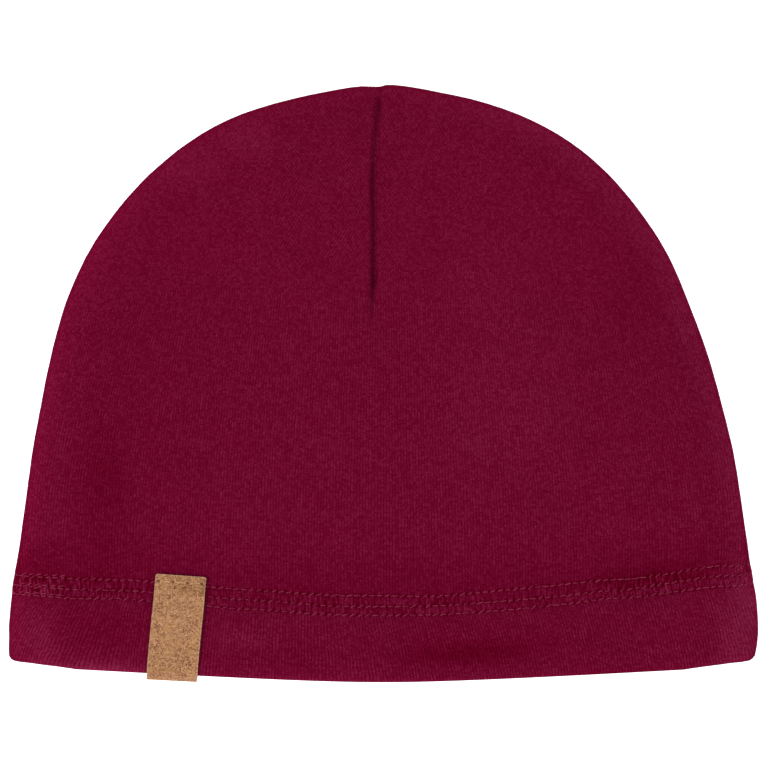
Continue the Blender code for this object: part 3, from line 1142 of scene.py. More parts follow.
@dataclass(frozen=True)
class CorkFinish:
    """Cork sheet: fine grains from pale tan to brown, with small dark pores.

    A weight says how much of its part shows in the shade, which is darker just below the stitches and towards
    the top, with painted shade along the crease at its line of stitches, towards its lower end and in the
    stitch holes, and a painted highlight along its cut edges. Off is the way above the stitches in millimetres,
    before the number of stitches to the left, and edge the way in from the strip's edges in millimetres. A span
    says where its part starts and ends in one of these.
    """
    name: str = "tan_cork"
    light: Colour = (0.640, 0.330, 0.175)
    dark: Colour = (0.150, 0.050, 0.016)
    golden: Colour = (0.400, 0.210, 0.076)
    # The colour of the painted highlight along the cut edges.
    edge: Colour = (0.640, 0.410, 0.290)
    pore: Colour = (0.100, 0.035, 0.014)
    relief_depth: float = 0.09 * MM
    mean_shade: float = 0.51
    cell_weight: float = 0.7
    grain_weight: float = 2.6
    fleck_weight: float = 0.2
    cloud_weight: float = 0.5
    below_stitches_weight: float = 0.24
    crease_shade_weight: float = 0.22
    top_weight: float = 0.09
    end_shade_weight: float = 0.10
    pore_weight: float = 0.22
    hole_shade_weight: float = 0.9
    cut_highlight_weight: float = 0.3
    tint_weight: float = 0.20
    golden_weight: float = 0.35
    hole_side: Span = (0.04, 0.11)
    hole_height: Span = (0.16, 0.48)
    pore_side: Span = (0.10, 0.26)
    pore_flecks: Span = (0.50, 0.62)
    below_stitches_foot: Span = (-4.2, -2.4)
    below_stitches_top: Span = (-0.9, -0.3)
    below_stitches_side: Span = (0.0, 1.3)
    crease_shade_drop: float = 0.25
    crease_shade_height: Span = (0.05, 0.50)
    crease_shade_side: Span = (0.5, 1.2)
    top_height: Span = (-3.2, -0.4)
    end_shade_height: Span = (-28.0, -16.0)
    cut_highlight_side: Span = (0.08, 0.34)
    tint_span: Span = (0.55, 0.95)
    golden_span: Span = (0.46, 0.62)
    roughness: float = 0.62
    roughness_swing: float = 0.3
    relief_grain: float = 0.8
    relief_pore: float = 0.6

    def make(self) -> bpy.types.Material:
        """Makes the material.

        Returns:
            The material.
        """
        bench = MaterialBench(self.name)
        place = bench.place()
        grain = bench.noise(place, scale=3000.0, detail=3.0, roughness=0.75)
        flecks = bench.noise(place, scale=1100.0, detail=2.0, roughness=0.6)
        cloud = bench.noise(place, scale=330.0, detail=3.0, roughness=0.6)
        pores = bench.cells(place, 760.0, "Distance")
        before, off, edge = bench.parts(bench.attribute("sewn"))
        # Painted shade in the stitch holes: the dark pore colour is mixed in at each hole.
        hole = 1.0 - abs(before.fraction() - 0.5).ramp(*self.hole_side)
        hole = hole * (1.0 - abs(off).ramp(*self.hole_height))
        pore = (1.0 - pores.ramp(*self.pore_side)) * flecks.ramp(*self.pore_flecks)
        # Darker just below the stitches, from the first stitch rightwards.
        below_stitches = off.ramp(*self.below_stitches_foot) * (1.0 - off.ramp(*self.below_stitches_top))
        below_stitches = below_stitches * before.ramp(*self.below_stitches_side)
        cell, tint, _ = bench.parts(bench.cells(place, 2500.0, "Color"))
        shade = ((cell - 0.5) * self.cell_weight + (grain - 0.5) * self.grain_weight
                 + (flecks - 0.5) * self.fleck_weight + (cloud - 0.5) * self.cloud_weight)
        # Painted shade of the crease along the line of stitches.
        line = (1.0 - abs(off + self.crease_shade_drop).ramp(*self.crease_shade_height)) * before.ramp(*self.crease_shade_side)
        shade = shade + self.mean_shade - below_stitches * self.below_stitches_weight - line * self.crease_shade_weight
        shade = shade - off.ramp(*self.top_height) * self.top_weight
        # Painted shade towards the lower end.
        shade = shade - (1.0 - off.ramp(*self.end_shade_height)) * self.end_shade_weight
        yellow = (tint.ramp(*self.tint_span) * self.tint_weight
                  + cloud.ramp(*self.golden_span) * self.golden_weight)
        body = bench.blend(yellow, bench.blend(shade, self.dark, self.light), self.golden)
        # A painted highlight along the cut edges.
        cut = bench.blend((1.0 - edge.ramp(*self.cut_highlight_side)) * self.cut_highlight_weight, body, self.edge)
        colour = bench.blend(pore * self.pore_weight + hole * self.hole_shade_weight, cut, self.pore)
        relief = grain * self.relief_grain - pore * self.relief_pore - hole
        roughness = self.roughness + grain * self.roughness_swing
        return bench.finish(colour, roughness, relief, self.relief_depth, {"Specular IOR Level": 0.15})


@dataclass(frozen=True)
class FloorFinish:
    """Pale studio floor."""
    name: str = "pale_floor"
    low: Colour = (0.86, 0.86, 0.86)
    high: Colour = (0.90, 0.90, 0.90)
    glow: float = 1.15
    cloud_scale: float = 3.0
    roughness: float = 0.75
    roughness_swing: float = 0.1
    relief_depth: float = 0.01 * MM

    def make(self) -> bpy.types.Material:
        """Makes the material.

        Returns:
            The material.
        """
        bench = MaterialBench(self.name)
        cloud = bench.noise(bench.place(), self.cloud_scale)
        colour = bench.blend(cloud, self.low, self.high)
        roughness = self.roughness + cloud * self.roughness_swing
        return bench.finish(colour, roughness, cloud, self.relief_depth,
                            {"Specular IOR Level": 0.1, "Emission Color": (1.0, 1.0, 1.0, 1.0),
                             "Emission Strength": self.glow})


def mesh_object(name: str, points: Array, faces: list[tuple[int, ...]] | Array,
                edges: list[tuple[int, int]] | None = None) -> bpy.types.Object:
    """A smooth mesh object in the scene, with its sharp edges kept sharp.

    Args:
        name: its name.
        points: rows of x, y and z.
        faces: its faces, as numbers of points; a number given twice in a row counts once.
        edges: its loose edges.

    Returns:
        The object.
    """
    data = bpy.data.meshes.new(name)
    data.from_pydata(points.tolist(), edges or [], [tuple(dict.fromkeys(int(corner) for corner in row))
                                                    for row in faces])
    data.update()
    if len(data.polygons):
        data.shade_smooth()
        data.set_sharp_from_angle(angle=SHARP_ANGLE)
    made = bpy.data.objects.new(name, data)
    bpy.context.scene.collection.objects.link(made)
    return made


def carry(piece: bpy.types.Object, name: str, rows: Array) -> None:
    """Gives each point of a mesh a vector under a name."""
    layer = piece.data.attributes.new(name, "FLOAT_VECTOR", "POINT")
    layer.data.foreach_set("vector", np.asarray(rows, dtype=np.float32).ravel())


def grid_faces(rows: int, columns: int) -> Array:
    """The four-sided faces of a grid of points.

    Args:
        rows: how many rows it has.
        columns: how many points a row has.

    Returns:
        Each face's four points.
    """
    index = np.arange(rows * columns).reshape(rows, columns)
    corners = (index[:-1, :-1], index[:-1, 1:], index[1:, 1:], index[1:, :-1])
    return np.stack([corner.ravel() for corner in corners], axis=1)


def closed_shell(outer: Array, inner: Array, faces: Array) -> tuple[Array, Array]:
    """A sheet with a wall: two skins that share their faces, joined round the sheet's edge.

    Args:
        outer: the outer skin's points.
        inner: the inner skin's points, in the same order.
        faces: the outer skin's four-sided faces, a three-sided one with its last corner given twice.

    Returns:
        All points and all faces.
    """
    pairs = np.concatenate([np.stack([faces[:, side], faces[:, (side + 1) % 4]], axis=1) for side in range(4)])
    pairs = pairs[pairs[:, 0] != pairs[:, 1]]
    count = len(outer)
    forth, back = pairs[:, 0] * count + pairs[:, 1], pairs[:, 1] * count + pairs[:, 0]
    rim = pairs[~np.isin(forth, back)]
    joined = np.stack([rim[:, 1], rim[:, 0], rim[:, 0] + count, rim[:, 1] + count], axis=1)
    return np.concatenate([outer, inner]), np.concatenate([faces, faces[:, ::-1] + count, joined])


def fold(radius: float, middle: float, centre: float, steps: int) -> tuple[Array, Array]:
    """Heights and depths round a fold.

    Args:
        radius: its radius.
        middle: the depth of its centre.
        centre: the height of its centre.
        steps: how many steps it has.

    Returns:
        The heights and the depths, from the inner layer to the outer one.
    """
    turns = math.pi * (1.0 - np.arange(steps + 1) / steps)
    return centre - radius * np.sin(turns), middle - radius * np.cos(turns)


@dataclass
class Panel:
    """One cloth panel: a sheet turned up inside at the hem.

    The node is the CAD node that it stands for. Its rows stand a step apart in the crown, in the stitched band
    and in the hem, and the band reaches past the stitches below and above. The turned-up layer and the outer
    one leave the fold at a share of the hem's half thickness, and a quarter of the fold is longer than that
    thickness by the quarter's extra. The columns stand closer beside the dart and at the edges, where the
    weights say how much and the reaches how far. The edge is rounded in a few steps, which tuck it in.
    """
    name: str
    node: str
    face: Face
    form: HatForm
    columns: int
    crown_step: float
    band_step: float
    hem_step: float
    turned_rows: int = 9
    fold_steps: int = 10
    inner_start: float = 1.3
    outer_start: float = 1.5
    quarter_extra: float = 0.57
    band_below: float = 1.6 * MM
    band_above: float = 2.0 * MM
    top_density: float = 45.0
    tip_share: float = 0.4
    relief_rise: float = 3.0 * MM
    dart_weight: float = 7.0
    dart_reach: float = 1.6 * MM
    edge_weight: float = 2.2
    edge_reach: float = 4.0 * MM
    edge_steps: int = 3
    edge_tuck: float = 0.45 * MM
    UNSEWN: ClassVar[tuple[float, float, float]] = (0.0, -9.0, 0.0)

    def places_across(self) -> Array:
        """Places of the panel's columns.

        Returns:
            Shares across it, close together at the dart and at the edges.
        """
        share = np.linspace(-1.0, 1.0, 4001)
        half = self.form.width / 2.0
        at_dart = self.dart_weight * bell(share * half, self.dart_reach)
        at_edges = self.edge_weight * np.exp((np.abs(share) - 1.0) * half / self.edge_reach)
        places = spaced(-1.0, 1.0, self.columns, 1.0 + at_dart + at_edges)
        places[np.abs(places).argmin()] = 0.0
        return places

    def outer_heights(self) -> Array:
        """Places of the outer layer's rows.

        Returns:
            Their heights, from the hem's fold to the last one below the top.
        """
        form = self.form
        first, last = form.stitch.rows[0] - self.band_below, form.stitch.rows[-1] + self.band_above
        hem = np.arange(form.hem_half * self.outer_start, first, self.hem_step)
        band = np.arange(first, last, self.band_step)
        start = math.sqrt(1.0 - last / form.side_height)
        share = np.linspace(start, 0.0, 500)
        density = np.maximum(2.0 * share * form.side_height / self.crown_step, self.top_density)
        count = int(density.mean() * start) + 1
        shares = spaced(start, 0.0, count, density)[:-1]
        shares = np.append(shares, shares[-1] * self.tip_share)
        return np.concatenate([hem, band, form.side_height * (1.0 - shares ** 2)])

    def rows(self) -> Array:
        """The rows from the turned-up edge round the fold to the top.

        Returns:
            Their heights and depths in the outer skin, their heights and depths in the inner skin, their ways
            along the cloth and their shares of the relief.
        """
        wall, half = self.form.wall, self.form.hem_half
        inner = np.linspace(self.form.hem_depth, half * self.inner_start, self.turned_rows)
        outer = self.outer_heights()
        skins = []
        for depth in (0.0, wall):
            fold_height, fold_depth = fold(half - depth, half, half, self.fold_steps)
            skins.append(np.concatenate([inner, fold_height, outer]))
            skins.append(np.concatenate([np.full(len(inner), 2.0 * half - depth), fold_depth,
                                         np.full(len(outer), depth)]))
        turns = np.linspace(-1.0, 1.0, self.fold_steps + 1) * half * math.pi / 2.0
        extra = half * self.quarter_extra
        along = np.concatenate([-inner - extra, turns, outer + extra])
        relief = smooth((outer - self.outer_start * half) / self.relief_rise)
        relief = np.concatenate([np.zeros(len(inner) + len(turns)), relief])
        return np.stack([*skins, along, relief])

    def sheet_faces(self, row_count: int, column_count: int) -> Array:
        """Faces of the sheet, closed at the top round the points that follow the grid's.

        Args:
            row_count: how many rows the grid has.
            column_count: how many points a row has.

        Returns:
            Four-sided faces, a three-sided one with its last corner given twice.
        """
        steps = self.edge_steps
        last, tip = (row_count - 1) * column_count, row_count * column_count
        closing = []
        for column in range(column_count - 1):
            left = max(steps - column, 0)
            right = max(column - (column_count - 1 - steps) + 1, 0)
            ends = (tip + left - 1, tip + left) if left else (tip + right, tip + max(right - 1, 0))
            closing.append((last + column, last + column + 1, *ends))
        return np.concatenate([grid_faces(row_count, column_count), np.array(closing)])

    def build(self, cloth: bpy.types.Material) -> bpy.types.Object:
        """Builds and dresses the panel.

        Args:
            cloth: its finish.

        Returns:
            The piece.
        """
        form, steps = self.form, self.edge_steps
        foot_full, foot_low = form.seam_gap / 2.0 + form.seam_face, form.seam_gap / 2.0
        shares = np.arange(1, steps + 1) / steps
        feet = foot_full + (foot_low - foot_full) * shares
        tucks = self.edge_tuck * (1.0 - np.sqrt(np.clip(1.0 - shares ** 2, 0.0, 1.0)))
        middle = self.places_across()
        across = np.concatenate([np.full(steps, -1.0), middle, np.full(steps, 1.0)])
        foot = np.concatenate([feet[::-1], np.full(len(middle), foot_full), feet])
        tuck = np.concatenate([tucks[::-1], np.zeros(len(middle)), tucks])
        if self.face is Face.BACK:
            across, foot, tuck = across[::-1], foot[::-1], tuck[::-1]
        heights, depths, under_heights, under_depths, along, relief = self.rows()
        row_count, column_count = len(heights), len(across)
        tops = np.full(steps + 1, form.side_height)

        def by_row(values: Array, top: Array) -> Array:
            """One value of each row for all its points, and then those of the points at the top."""
            return np.concatenate([np.repeat(values, column_count), top])

        def by_column(values: Array, top: Array) -> Array:
            """One value of each column for all its points, and then those of the points at the top."""
            return np.concatenate([np.tile(values, row_count), top])

        wide, high = by_column(across, np.zeros(steps + 1)), by_row(heights, tops)
        foot, tuck = by_column(foot, np.append(foot_full, feet)), by_column(tuck, np.append(0.0, tucks))
        relief = by_row(relief, np.ones(steps + 1))
        skins = []
        for height, depth in ((heights, depths), (under_heights, under_depths)):
            deep = by_row(depth, np.full(steps + 1, depth[-1]))
            skins.append(form.points(wide, by_row(height, tops), deep, self.face, relief, foot, tuck))
        points, faces = closed_shell(*skins, self.sheet_faces(row_count, column_count))
        points[:, 2] = np.maximum(points[:, 2], form.floor_height)
        piece = mesh_object(self.name, points, faces)
        upright, leaning = form.knit_places(self.face, wide, high, by_row(along, tops))
        hidden = np.arange(len(high)) < np.count_nonzero(relief <= 0.0)
        sewn = np.where(hidden[:, None], self.UNSEWN, form.sewn_places(self.face, wide, high))
        for name, rows in (("knit_upright", upright), ("knit_leaning", leaning), ("sewn", sewn)):
            carry(piece, name, np.tile(rows, (2, 1)))
        piece.data.materials.append(cloth)
        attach(piece, BODY)
        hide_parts(self.node)
        return piece


class ThreadTree(Bench):
    """Geometry Nodes that sew a row of short arched threads along a path that carries its surface's direction.

    Each stitch has a random turn up to the unevenness, and a random size up to the scale's share of it.
    """

    NUMBERS = ("Pitch", "Length", "Rise", "Sink", "Radius", "Slant", "Unevenness")
    SIZES = {**dict.fromkeys(NUMBERS, "NodeSocketFloat"), "Seed": "NodeSocketInt",
             "Finish": "NodeSocketMaterial"}
    SCALE_SHARE = 0.6
    ARCH_STEPS = 7
    ROUND_STEPS = 6

    def __init__(self) -> None:
        """Builds the tree."""
        tree = bpy.data.node_groups.new("sewn_row", "GeometryNodeTree")
        super().__init__(tree)
        tree.is_modifier = True
        tree.interface.new_socket("Geometry", in_out="INPUT", socket_type="NodeSocketGeometry")
        self.keys = {name: tree.interface.new_socket(name, in_out="INPUT", socket_type=kind).identifier
                     for name, kind in self.SIZES.items()}
        tree.interface.new_socket("Geometry", in_out="OUTPUT", socket_type="NodeSocketGeometry")
        source = tree.nodes.new("NodeGroupInput")
        given = {socket.name: Wire(self, socket) for socket in source.outputs if socket.name}
        line = self.wire("GeometryNodeMeshToCurve", inputs={"Mesh": given["Geometry"]})
        line = self.wire("GeometryNodeResampleCurve", {"mode": "LENGTH"},
                         {"Curve": line, "Length": given["Pitch"]})
        up = self.wire("GeometryNodeInputNamedAttribute", {"data_type": "FLOAT_VECTOR"}, {"Name": "up"})
        tangent = self.wire("GeometryNodeInputTangent")
        facing = self.wire("FunctionNodeAxesToRotation", {"primary_axis": "Z", "secondary_axis": "X"},
                           {0: up, 1: tangent})
        swing = self.random(given, given["Unevenness"], 1)
        turned = self.wire("FunctionNodeAxisAngleToRotation",
                           inputs={"Axis": (0.0, 0.0, 1.0), "Angle": given["Slant"] + swing})
        facing = self.wire("FunctionNodeRotateRotation", {"rotation_space": "LOCAL"},
                           {"Rotation": facing, "Rotate By": turned})
        scale = self.random(given, given["Unevenness"] * self.SCALE_SHARE, 2) + 1.0
        thread = self.thread(given)
        sewn = self.wire("GeometryNodeInstanceOnPoints",
                         inputs={"Points": line, "Instance": thread, "Rotation": facing,
                                 "Scale": self.vector(scale, 1.0, scale)})
        made = self.wire("GeometryNodeRealizeInstances", inputs={"Geometry": sewn})
        made = self.wire("GeometryNodeSetShadeSmooth", inputs={0: made})
        made = self.wire("GeometryNodeSetMaterial", inputs={"Geometry": made, "Material": given["Finish"]})
        self.node("NodeGroupOutput", inputs={0: made})

    def random(self, given: dict[str, Wire], reach: Wire, step: int) -> Wire:
        """An even random number about 0 for each stitch.

        Args:
            given: the tree's inputs.
            reach: the largest size.
            step: keeps one use apart from another.

        Returns:
            The number.
        """
        return self.wire("FunctionNodeRandomValue", {"data_type": "FLOAT"},
                         {"Min": reach * -1.0, "Max": reach, "Seed": given["Seed"] + step})

    def thread(self, given: dict[str, Wire]) -> Wire:
        """One arched piece of thread that dips into the cloth at both ends.

        Args:
            given: the tree's inputs.

        Returns:
            The piece's mesh, with its places round and along the thread.
        """
        half = given["Length"] * 0.5
        dip = given["Sink"] * -1.0
        arch = self.wire("GeometryNodeCurveQuadraticBezier",
                         inputs={"Resolution": self.ARCH_STEPS, "Start": self.vector(half * -1.0, 0.0, dip),
                                 "Middle": self.vector(0.0, 0.0, given["Rise"] * 2.0 + given["Sink"]),
                                 "End": self.vector(half, 0.0, dip)})
        along = self.wire("GeometryNodeSplineParameter", output="Length")
        turn = self.wire("GeometryNodeSplineParameter", output="Factor")
        ring = self.wire("GeometryNodeCurvePrimitiveCircle", {"mode": "RADIUS"},
                         {"Resolution": self.ROUND_STEPS, "Radius": given["Radius"]})
        arch = self.wire("GeometryNodeStoreNamedAttribute", {"data_type": "FLOAT", "domain": "POINT"},
                         {"Geometry": arch, "Name": "thread_along", "Value": along})
        ring = self.wire("GeometryNodeStoreNamedAttribute", {"data_type": "FLOAT", "domain": "POINT"},
                         {"Geometry": ring, "Name": "thread_round", "Value": turn})
        tube = self.wire("GeometryNodeCurveToMesh",
                         inputs={"Curve": arch, "Profile Curve": ring, "Fill Caps": True})
        read = [self.wire("GeometryNodeInputNamedAttribute", {"data_type": "FLOAT"}, {"Name": name})
                for name in ("thread_round", "thread_along")]
        return self.wire("GeometryNodeStoreNamedAttribute", {"data_type": "FLOAT_VECTOR", "domain": "POINT"},
                         {"Geometry": tube, "Name": "thread", "Value": self.vector(read[0], read[1])})

    def sew(self, name: str, path: bpy.types.Object, sizes: dict[str, Setting]) -> bpy.types.Object:
        """Sews along a path and leaves a plain mesh.

        Args:
            name: the piece's name.
            path: a mesh of open lines, which is used up.
            sizes: the tree's inputs by name.

        Returns:
            The piece.
        """
        modifier = path.modifiers.new("Sewing", "NODES")
        modifier.node_group = self.tree
        for key, value in sizes.items():
            modifier[self.keys[key]] = value
        ready = path.evaluated_get(bpy.context.evaluated_depsgraph_get())
        data = bpy.data.meshes.new_from_object(ready)
        path.modifiers.remove(modifier)
        bpy.data.objects.remove(path, do_unlink=True)
        data.name = name
        for spare in ("thread_along", "thread_round", "up"):
            if spare in data.attributes:
                data.attributes.remove(data.attributes[spare])
        piece = bpy.data.objects.new(name, data)
        bpy.context.scene.collection.objects.link(piece)
        return piece


@dataclass
class Sewing:
    """Lays the paths of stitches on the hat's surface and sews them.

    The probe is the small way over which the surface's direction is read.
    """
    form: HatForm
    tree: ThreadTree
    probe: float = 0.25 * MM

    def surface_path(self, across: Array, height: Array, depth: float, face: Face,
                     inward: bool = False) -> tuple[Array, Array]:
        """A line on a panel.

        Args:
            across: shares across the hat.
            height: heights above the hem's ends.
            depth: how far inside the outer face it lies.
            face: the panel.
            inward: whether it lies on the side towards the hollow.

        Returns:
            Its points and the directions that point off the cloth.
        """
        form, probe = self.form, self.probe
        deep = np.full(len(across), depth)
        spots = form.points(across, height, deep, face, 0.0 if inward else 1.0, sewn=False)
        right, left = (np.clip(across + way * probe / form.width, -1.0, 1.0) for way in (1.0, -1.0))
        over = form.points(right, height, deep, face, 0.0) - form.points(left, height, deep, face, 0.0)
        along = (form.points(across, height + probe, deep, face, 0.0)
                 - form.points(across, height - probe, deep, face, 0.0))
        up = np.cross(over, along) * face.value * (-1.0 if inward else 1.0)
        return spots, up / np.linalg.norm(up, axis=1)[:, None]

    def path_object(self, name: str, lines: list[tuple[Array, Array]]) -> bpy.types.Object:
        """A mesh of open lines that carries the directions off the cloth.

        Args:
            name: its name.
            lines: points and directions of each line.

        Returns:
            The object.
        """
        points = np.concatenate([line[0] for line in lines])
        edges, start = [], 0
        for spots, _ in lines:
            edges += [(start + step, start + step + 1) for step in range(len(spots) - 1)]
            start += len(spots)
        made = mesh_object(name, points, [], edges)
        carry(made, "up", np.concatenate([line[1] for line in lines]))
        return made

    def sew(self, name: str, lines: list[tuple[Array, Array]], sizes: dict[str, Setting],
            slot: Slot) -> bpy.types.Object:
        """Sews along lines and hands the piece over.

        Args:
            name: the piece's name.
            lines: points and directions of each line.
            sizes: the sewing tree's inputs by name.
            slot: the record's slot of its finish; not used.

        Returns:
            The piece.
        """
        piece = self.tree.sew(name, self.path_object(name + "_path", lines), sizes)
        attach(piece, BODY)
        return piece


@dataclass
class HemSewing:
    """The hem's stitches: three rows outside, and the crossing threads that join them inside.

    An overlap is where a seam's end runs over its start: from one share across the hat to another, and how much
    higher. The crossing threads reach as far to both sides as the inner reach, the inner drop below the
    turned-up layer's edge.
    """
    sewing: Sewing
    thread: bpy.types.Material
    overlaps: Table = ((-0.975, -0.865, 0.7 * MM),)
    samples: int = 700
    fewest_samples: int = 40
    bed: float = 0.02 * MM
    inner_reach: float = 0.97
    inner_drop: float = 1.5 * MM

    def rows(self, face: Face) -> list[tuple[Array, Array]]:
        """The lines of the outer rows, in front with the overlaps.

        Args:
            face: the panel.

        Returns:
            Points and directions of each line.
        """
        form = self.sewing.form
        whole = (-form.stitch.margin, form.stitch.margin, 0.0)
        lines = []
        for index in range(len(form.stitch.rows)):
            for start, end, shift in (whole, *(self.overlaps if face is Face.FRONT else ())):
                count = max(self.fewest_samples, int(self.samples * (end - start) / 2.0))
                across, height = form.row_line(index, start, end, count, shift)
                lines.append(self.sewing.surface_path(across, height, self.bed, face))
        return lines

    def inner_line(self, face: Face) -> list[tuple[Array, Array]]:
        """The line of the crossing threads, on the side towards the hollow.

        Args:
            face: the panel.

        Returns:
            Its points and directions.
        """
        form = self.sewing.form
        across = np.linspace(-self.inner_reach, self.inner_reach, self.samples)
        height = np.full(len(across), form.hem_depth - self.inner_drop)
        return [self.sewing.surface_path(across, height, 2.0 * form.hem_half, face, inward=True)]

    def build(self, face: Face, prefix: str) -> list[bpy.types.Object]:
        """Sews one panel's hem.

        Args:
            face: the panel.
            prefix: how the pieces' names start.

        Returns:
            The pieces.
        """
        outer = {"Pitch": self.sewing.form.stitch.pitch, "Length": 1.65 * MM, "Rise": 0.10 * MM,
                 "Sink": 0.22 * MM, "Radius": 0.17 * MM, "Slant": math.radians(14.0), "Unevenness": 0.40,
                 "Seed": 5, "Finish": self.thread}
        crossing = {**outer, "Pitch": 1.1 * MM, "Length": 6.2 * MM, "Rise": 0.20 * MM, "Sink": 0.12 * MM,
                    "Slant": math.radians(68.0), "Seed": 9}
        return [self.sewing.sew(prefix + "_hem_stitches", self.rows(face), outer, Slot.CLOTH),
                self.sewing.sew(prefix + "_looper_threads", self.inner_line(face), crossing, Slot.CLOTH)]


@dataclass
class HemLabel:
    """The cork label: one strip folded round the front hem edge, sewn on near its top.

    The strip lies clear of the hem, with some slack below it. Its place is a share of half the hat's width, and
    its layers leave the fold at a share of the hem's half thickness. Its sides are a little ragged.
    """
    sewing: Sewing
    width: float = 14.8 * MM
    length: float = 31.2 * MM
    thickness: float = 0.8 * MM
    clearance: float = 0.4 * MM
    slack: float = 0.7 * MM
    place: float = -0.562
    lean: float = math.radians(5.15)
    corner: float = 0.45 * MM
    ragged: SoftWaves = SoftWaves(0.035 * MM, 0.8 * MM, 5.0 * MM, 51, 10)
    columns: int = 61
    inner_rows: int = 34
    outer_rows: int = 110
    fold_steps: int = 22
    fold_end: float = 1.2
    stitch_inset: float = 2.0 * MM
    stitch_pitch: float = 4.2 * MM
    stitch_slack: float = 0.05 * MM
    stitch_samples: int = 60
    stitches: int = 3

    def middle(self, height: Array) -> Array:
        """The strip's middle line at each height."""
        return self.place * self.sewing.form.width / 2.0 + height * math.tan(self.lean)

    def build(self, cork: bpy.types.Material) -> bpy.types.Object:
        """Builds and dresses the strip.

        Args:
            cork: its finish.

        Returns:
            The piece.
        """
        form = self.sewing.form
        half = form.hem_half
        inner = np.linspace(self.length, half * self.fold_end, self.inner_rows)
        outer = np.linspace(half * self.fold_end, self.length, self.outer_rows)
        row_side = np.linspace(-0.5, 0.5, self.columns)
        skins = []
        for stand_off in (self.clearance + self.thickness, self.clearance):
            fold_height, fold_depth = fold(half + stand_off, half, half - self.slack, self.fold_steps)
            heights = np.concatenate([inner, fold_height, outer])
            depths = np.concatenate([np.full(len(inner), 2.0 * half + stand_off), fold_depth,
                                     np.full(len(outer), -stand_off)])
            high, side = np.repeat(heights, self.columns), np.tile(row_side, len(heights))
            ragged = self.ragged.at(high, np.sign(side))
            into = np.clip(high - self.length + self.corner, 0.0, self.corner)
            cut = self.corner - np.sqrt(self.corner ** 2 - into ** 2)
            x = self.middle(high) + side * (self.width + ragged - 2.0 * cut)
            across = form.across_at(x, high)
            skins.append(form.points(across, high, np.repeat(depths, self.columns), Face.FRONT, 0.0))
        points, faces = closed_shell(*skins, grid_faces(len(heights), self.columns))
        piece = mesh_object("label_strip", points, faces)
        aside = side * self.width
        before = aside / self.stitch_pitch + (self.stitches - 1) / 2.0
        off = high - self.length + self.stitch_inset
        edge = np.minimum(self.width / 2.0 - np.abs(aside), self.length - high)
        carry(piece, "sewn", np.tile(np.column_stack([before, off / MM, edge / MM]), (2, 1)))
        piece.data.materials.append(cork)
        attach(piece, BODY)
        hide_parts("label_tag")
        return piece

    def sew(self, thread: bpy.types.Material) -> bpy.types.Object:
        """Sews the strip on.

        Args:
            thread: the thread's finish.

        Returns:
            The stitches.
        """
        form = self.sewing.form
        height = np.full(self.stitch_samples, self.length - self.stitch_inset)
        reach = self.stitch_pitch * (self.stitches - 1) / 2.0 + self.stitch_slack
        x = self.middle(height) + np.linspace(-reach, reach, self.stitch_samples)
        depth = -(self.clearance + self.thickness)
        spots, up = self.sewing.surface_path(form.across_at(x, height), height, depth, Face.FRONT)
        sizes = {"Pitch": self.stitch_pitch, "Length": 3.9 * MM, "Rise": 0.10 * MM, "Sink": 0.25 * MM,
                 "Radius": 0.18 * MM, "Slant": math.radians(3.0), "Unevenness": 0.05, "Seed": 3,
                 "Finish": thread}
        return self.sewing.sew("label_stitches", [(spots, up)], sizes, Slot.CORK)


@dataclass
class SeamAllowance:
    """The two edges of cloth inside the seam that follows the outline.

    Each is a flat tube along the seam's line, from its start to its reach inside it, with a frilled inner side.
    Its sides and its faces are squared off by powers below 1.
    """
    form: HatForm
    reach: float = 7.0 * MM
    start: float = 1.0 * MM
    ply: float = 1.4 * MM
    apart: float = 0.08 * MM
    above_hem: float = 1.0 * MM
    frill: SoftWaves = SoftWaves(0.25 * MM, 6.0 * MM, 22.0 * MM, 61, 8)
    side_power: float = 0.35
    face_power: float = 0.5
    ring_points: int = 16
    samples: int = 260

    def build(self, cloth: bpy.types.Material) -> bpy.types.Object:
        """Builds and dresses both edges.

        Args:
            cloth: their finish.

        Returns:
            The piece.
        """
        form = self.form
        low = form.hem_depth + self.above_hem
        shares = np.linspace(math.sqrt(1.0 - low / form.side_height), 0.0, self.samples)
        heights = form.side_height * (1.0 - shares ** 2)
        heights = np.concatenate([heights, heights[-2::-1]])
        across = np.where(np.arange(len(heights)) < self.samples, -1.0, 1.0)
        edge = form.plan(across, heights)
        _, outward = form.edge_distance(edge)
        frill = self.frill.at(np.arange(len(edge)) * MM, np.zeros(len(edge)))
        turns = np.linspace(0.0, TURN, self.ring_points + 1)[:-1]
        ring_in = 0.5 - 0.5 * np.sign(np.cos(turns)) * np.abs(np.cos(turns)) ** self.side_power
        ring_up = 0.5 * np.sign(np.sin(turns)) * np.abs(np.sin(turns)) ** self.face_power
        inward = self.start + ring_in[None, :] * (self.reach - self.start) * np.ones((len(edge), 1))
        plan = edge[:, None, :] - outward[:, None, :] * inward[:, :, None]
        index = np.arange(len(edge) * len(turns)).reshape(len(edge), len(turns))
        after = np.roll(index, -1, axis=1)
        quads = np.stack([index[:-1], index[1:], after[1:], after[:-1]], axis=2).reshape(-1, 4)
        points, faces = [], []
        for number, side in enumerate((1.0, -1.0)):
            z = form.seam_height + side * (self.ply / 2.0 + self.apart) + self.ply * ring_up[None, :]
            z = z + frill[:, None] * ring_in[None, :] ** 2
            points.append(np.concatenate([plan, z[:, :, None]], axis=2).reshape(-1, 3))
            total = number * index.size
            faces += [tuple(row) for row in (quads + total).tolist()]
            faces += [tuple((index[0] + total).tolist()), tuple((index[-1][::-1] + total).tolist())]
        flat = np.concatenate(points)
        piece = mesh_object("seam_allowance", flat, faces)
        knit = np.column_stack([flat[:, 0], flat[:, 1], np.zeros(len(flat))])
        carry(piece, "knit_upright", knit)
        carry(piece, "knit_leaning", knit)
        carry(piece, "sewn", np.tile(Panel.UNSEWN, (len(flat), 1)))
        piece.data.materials.append(cloth)
        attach(piece, BODY)
        return piece


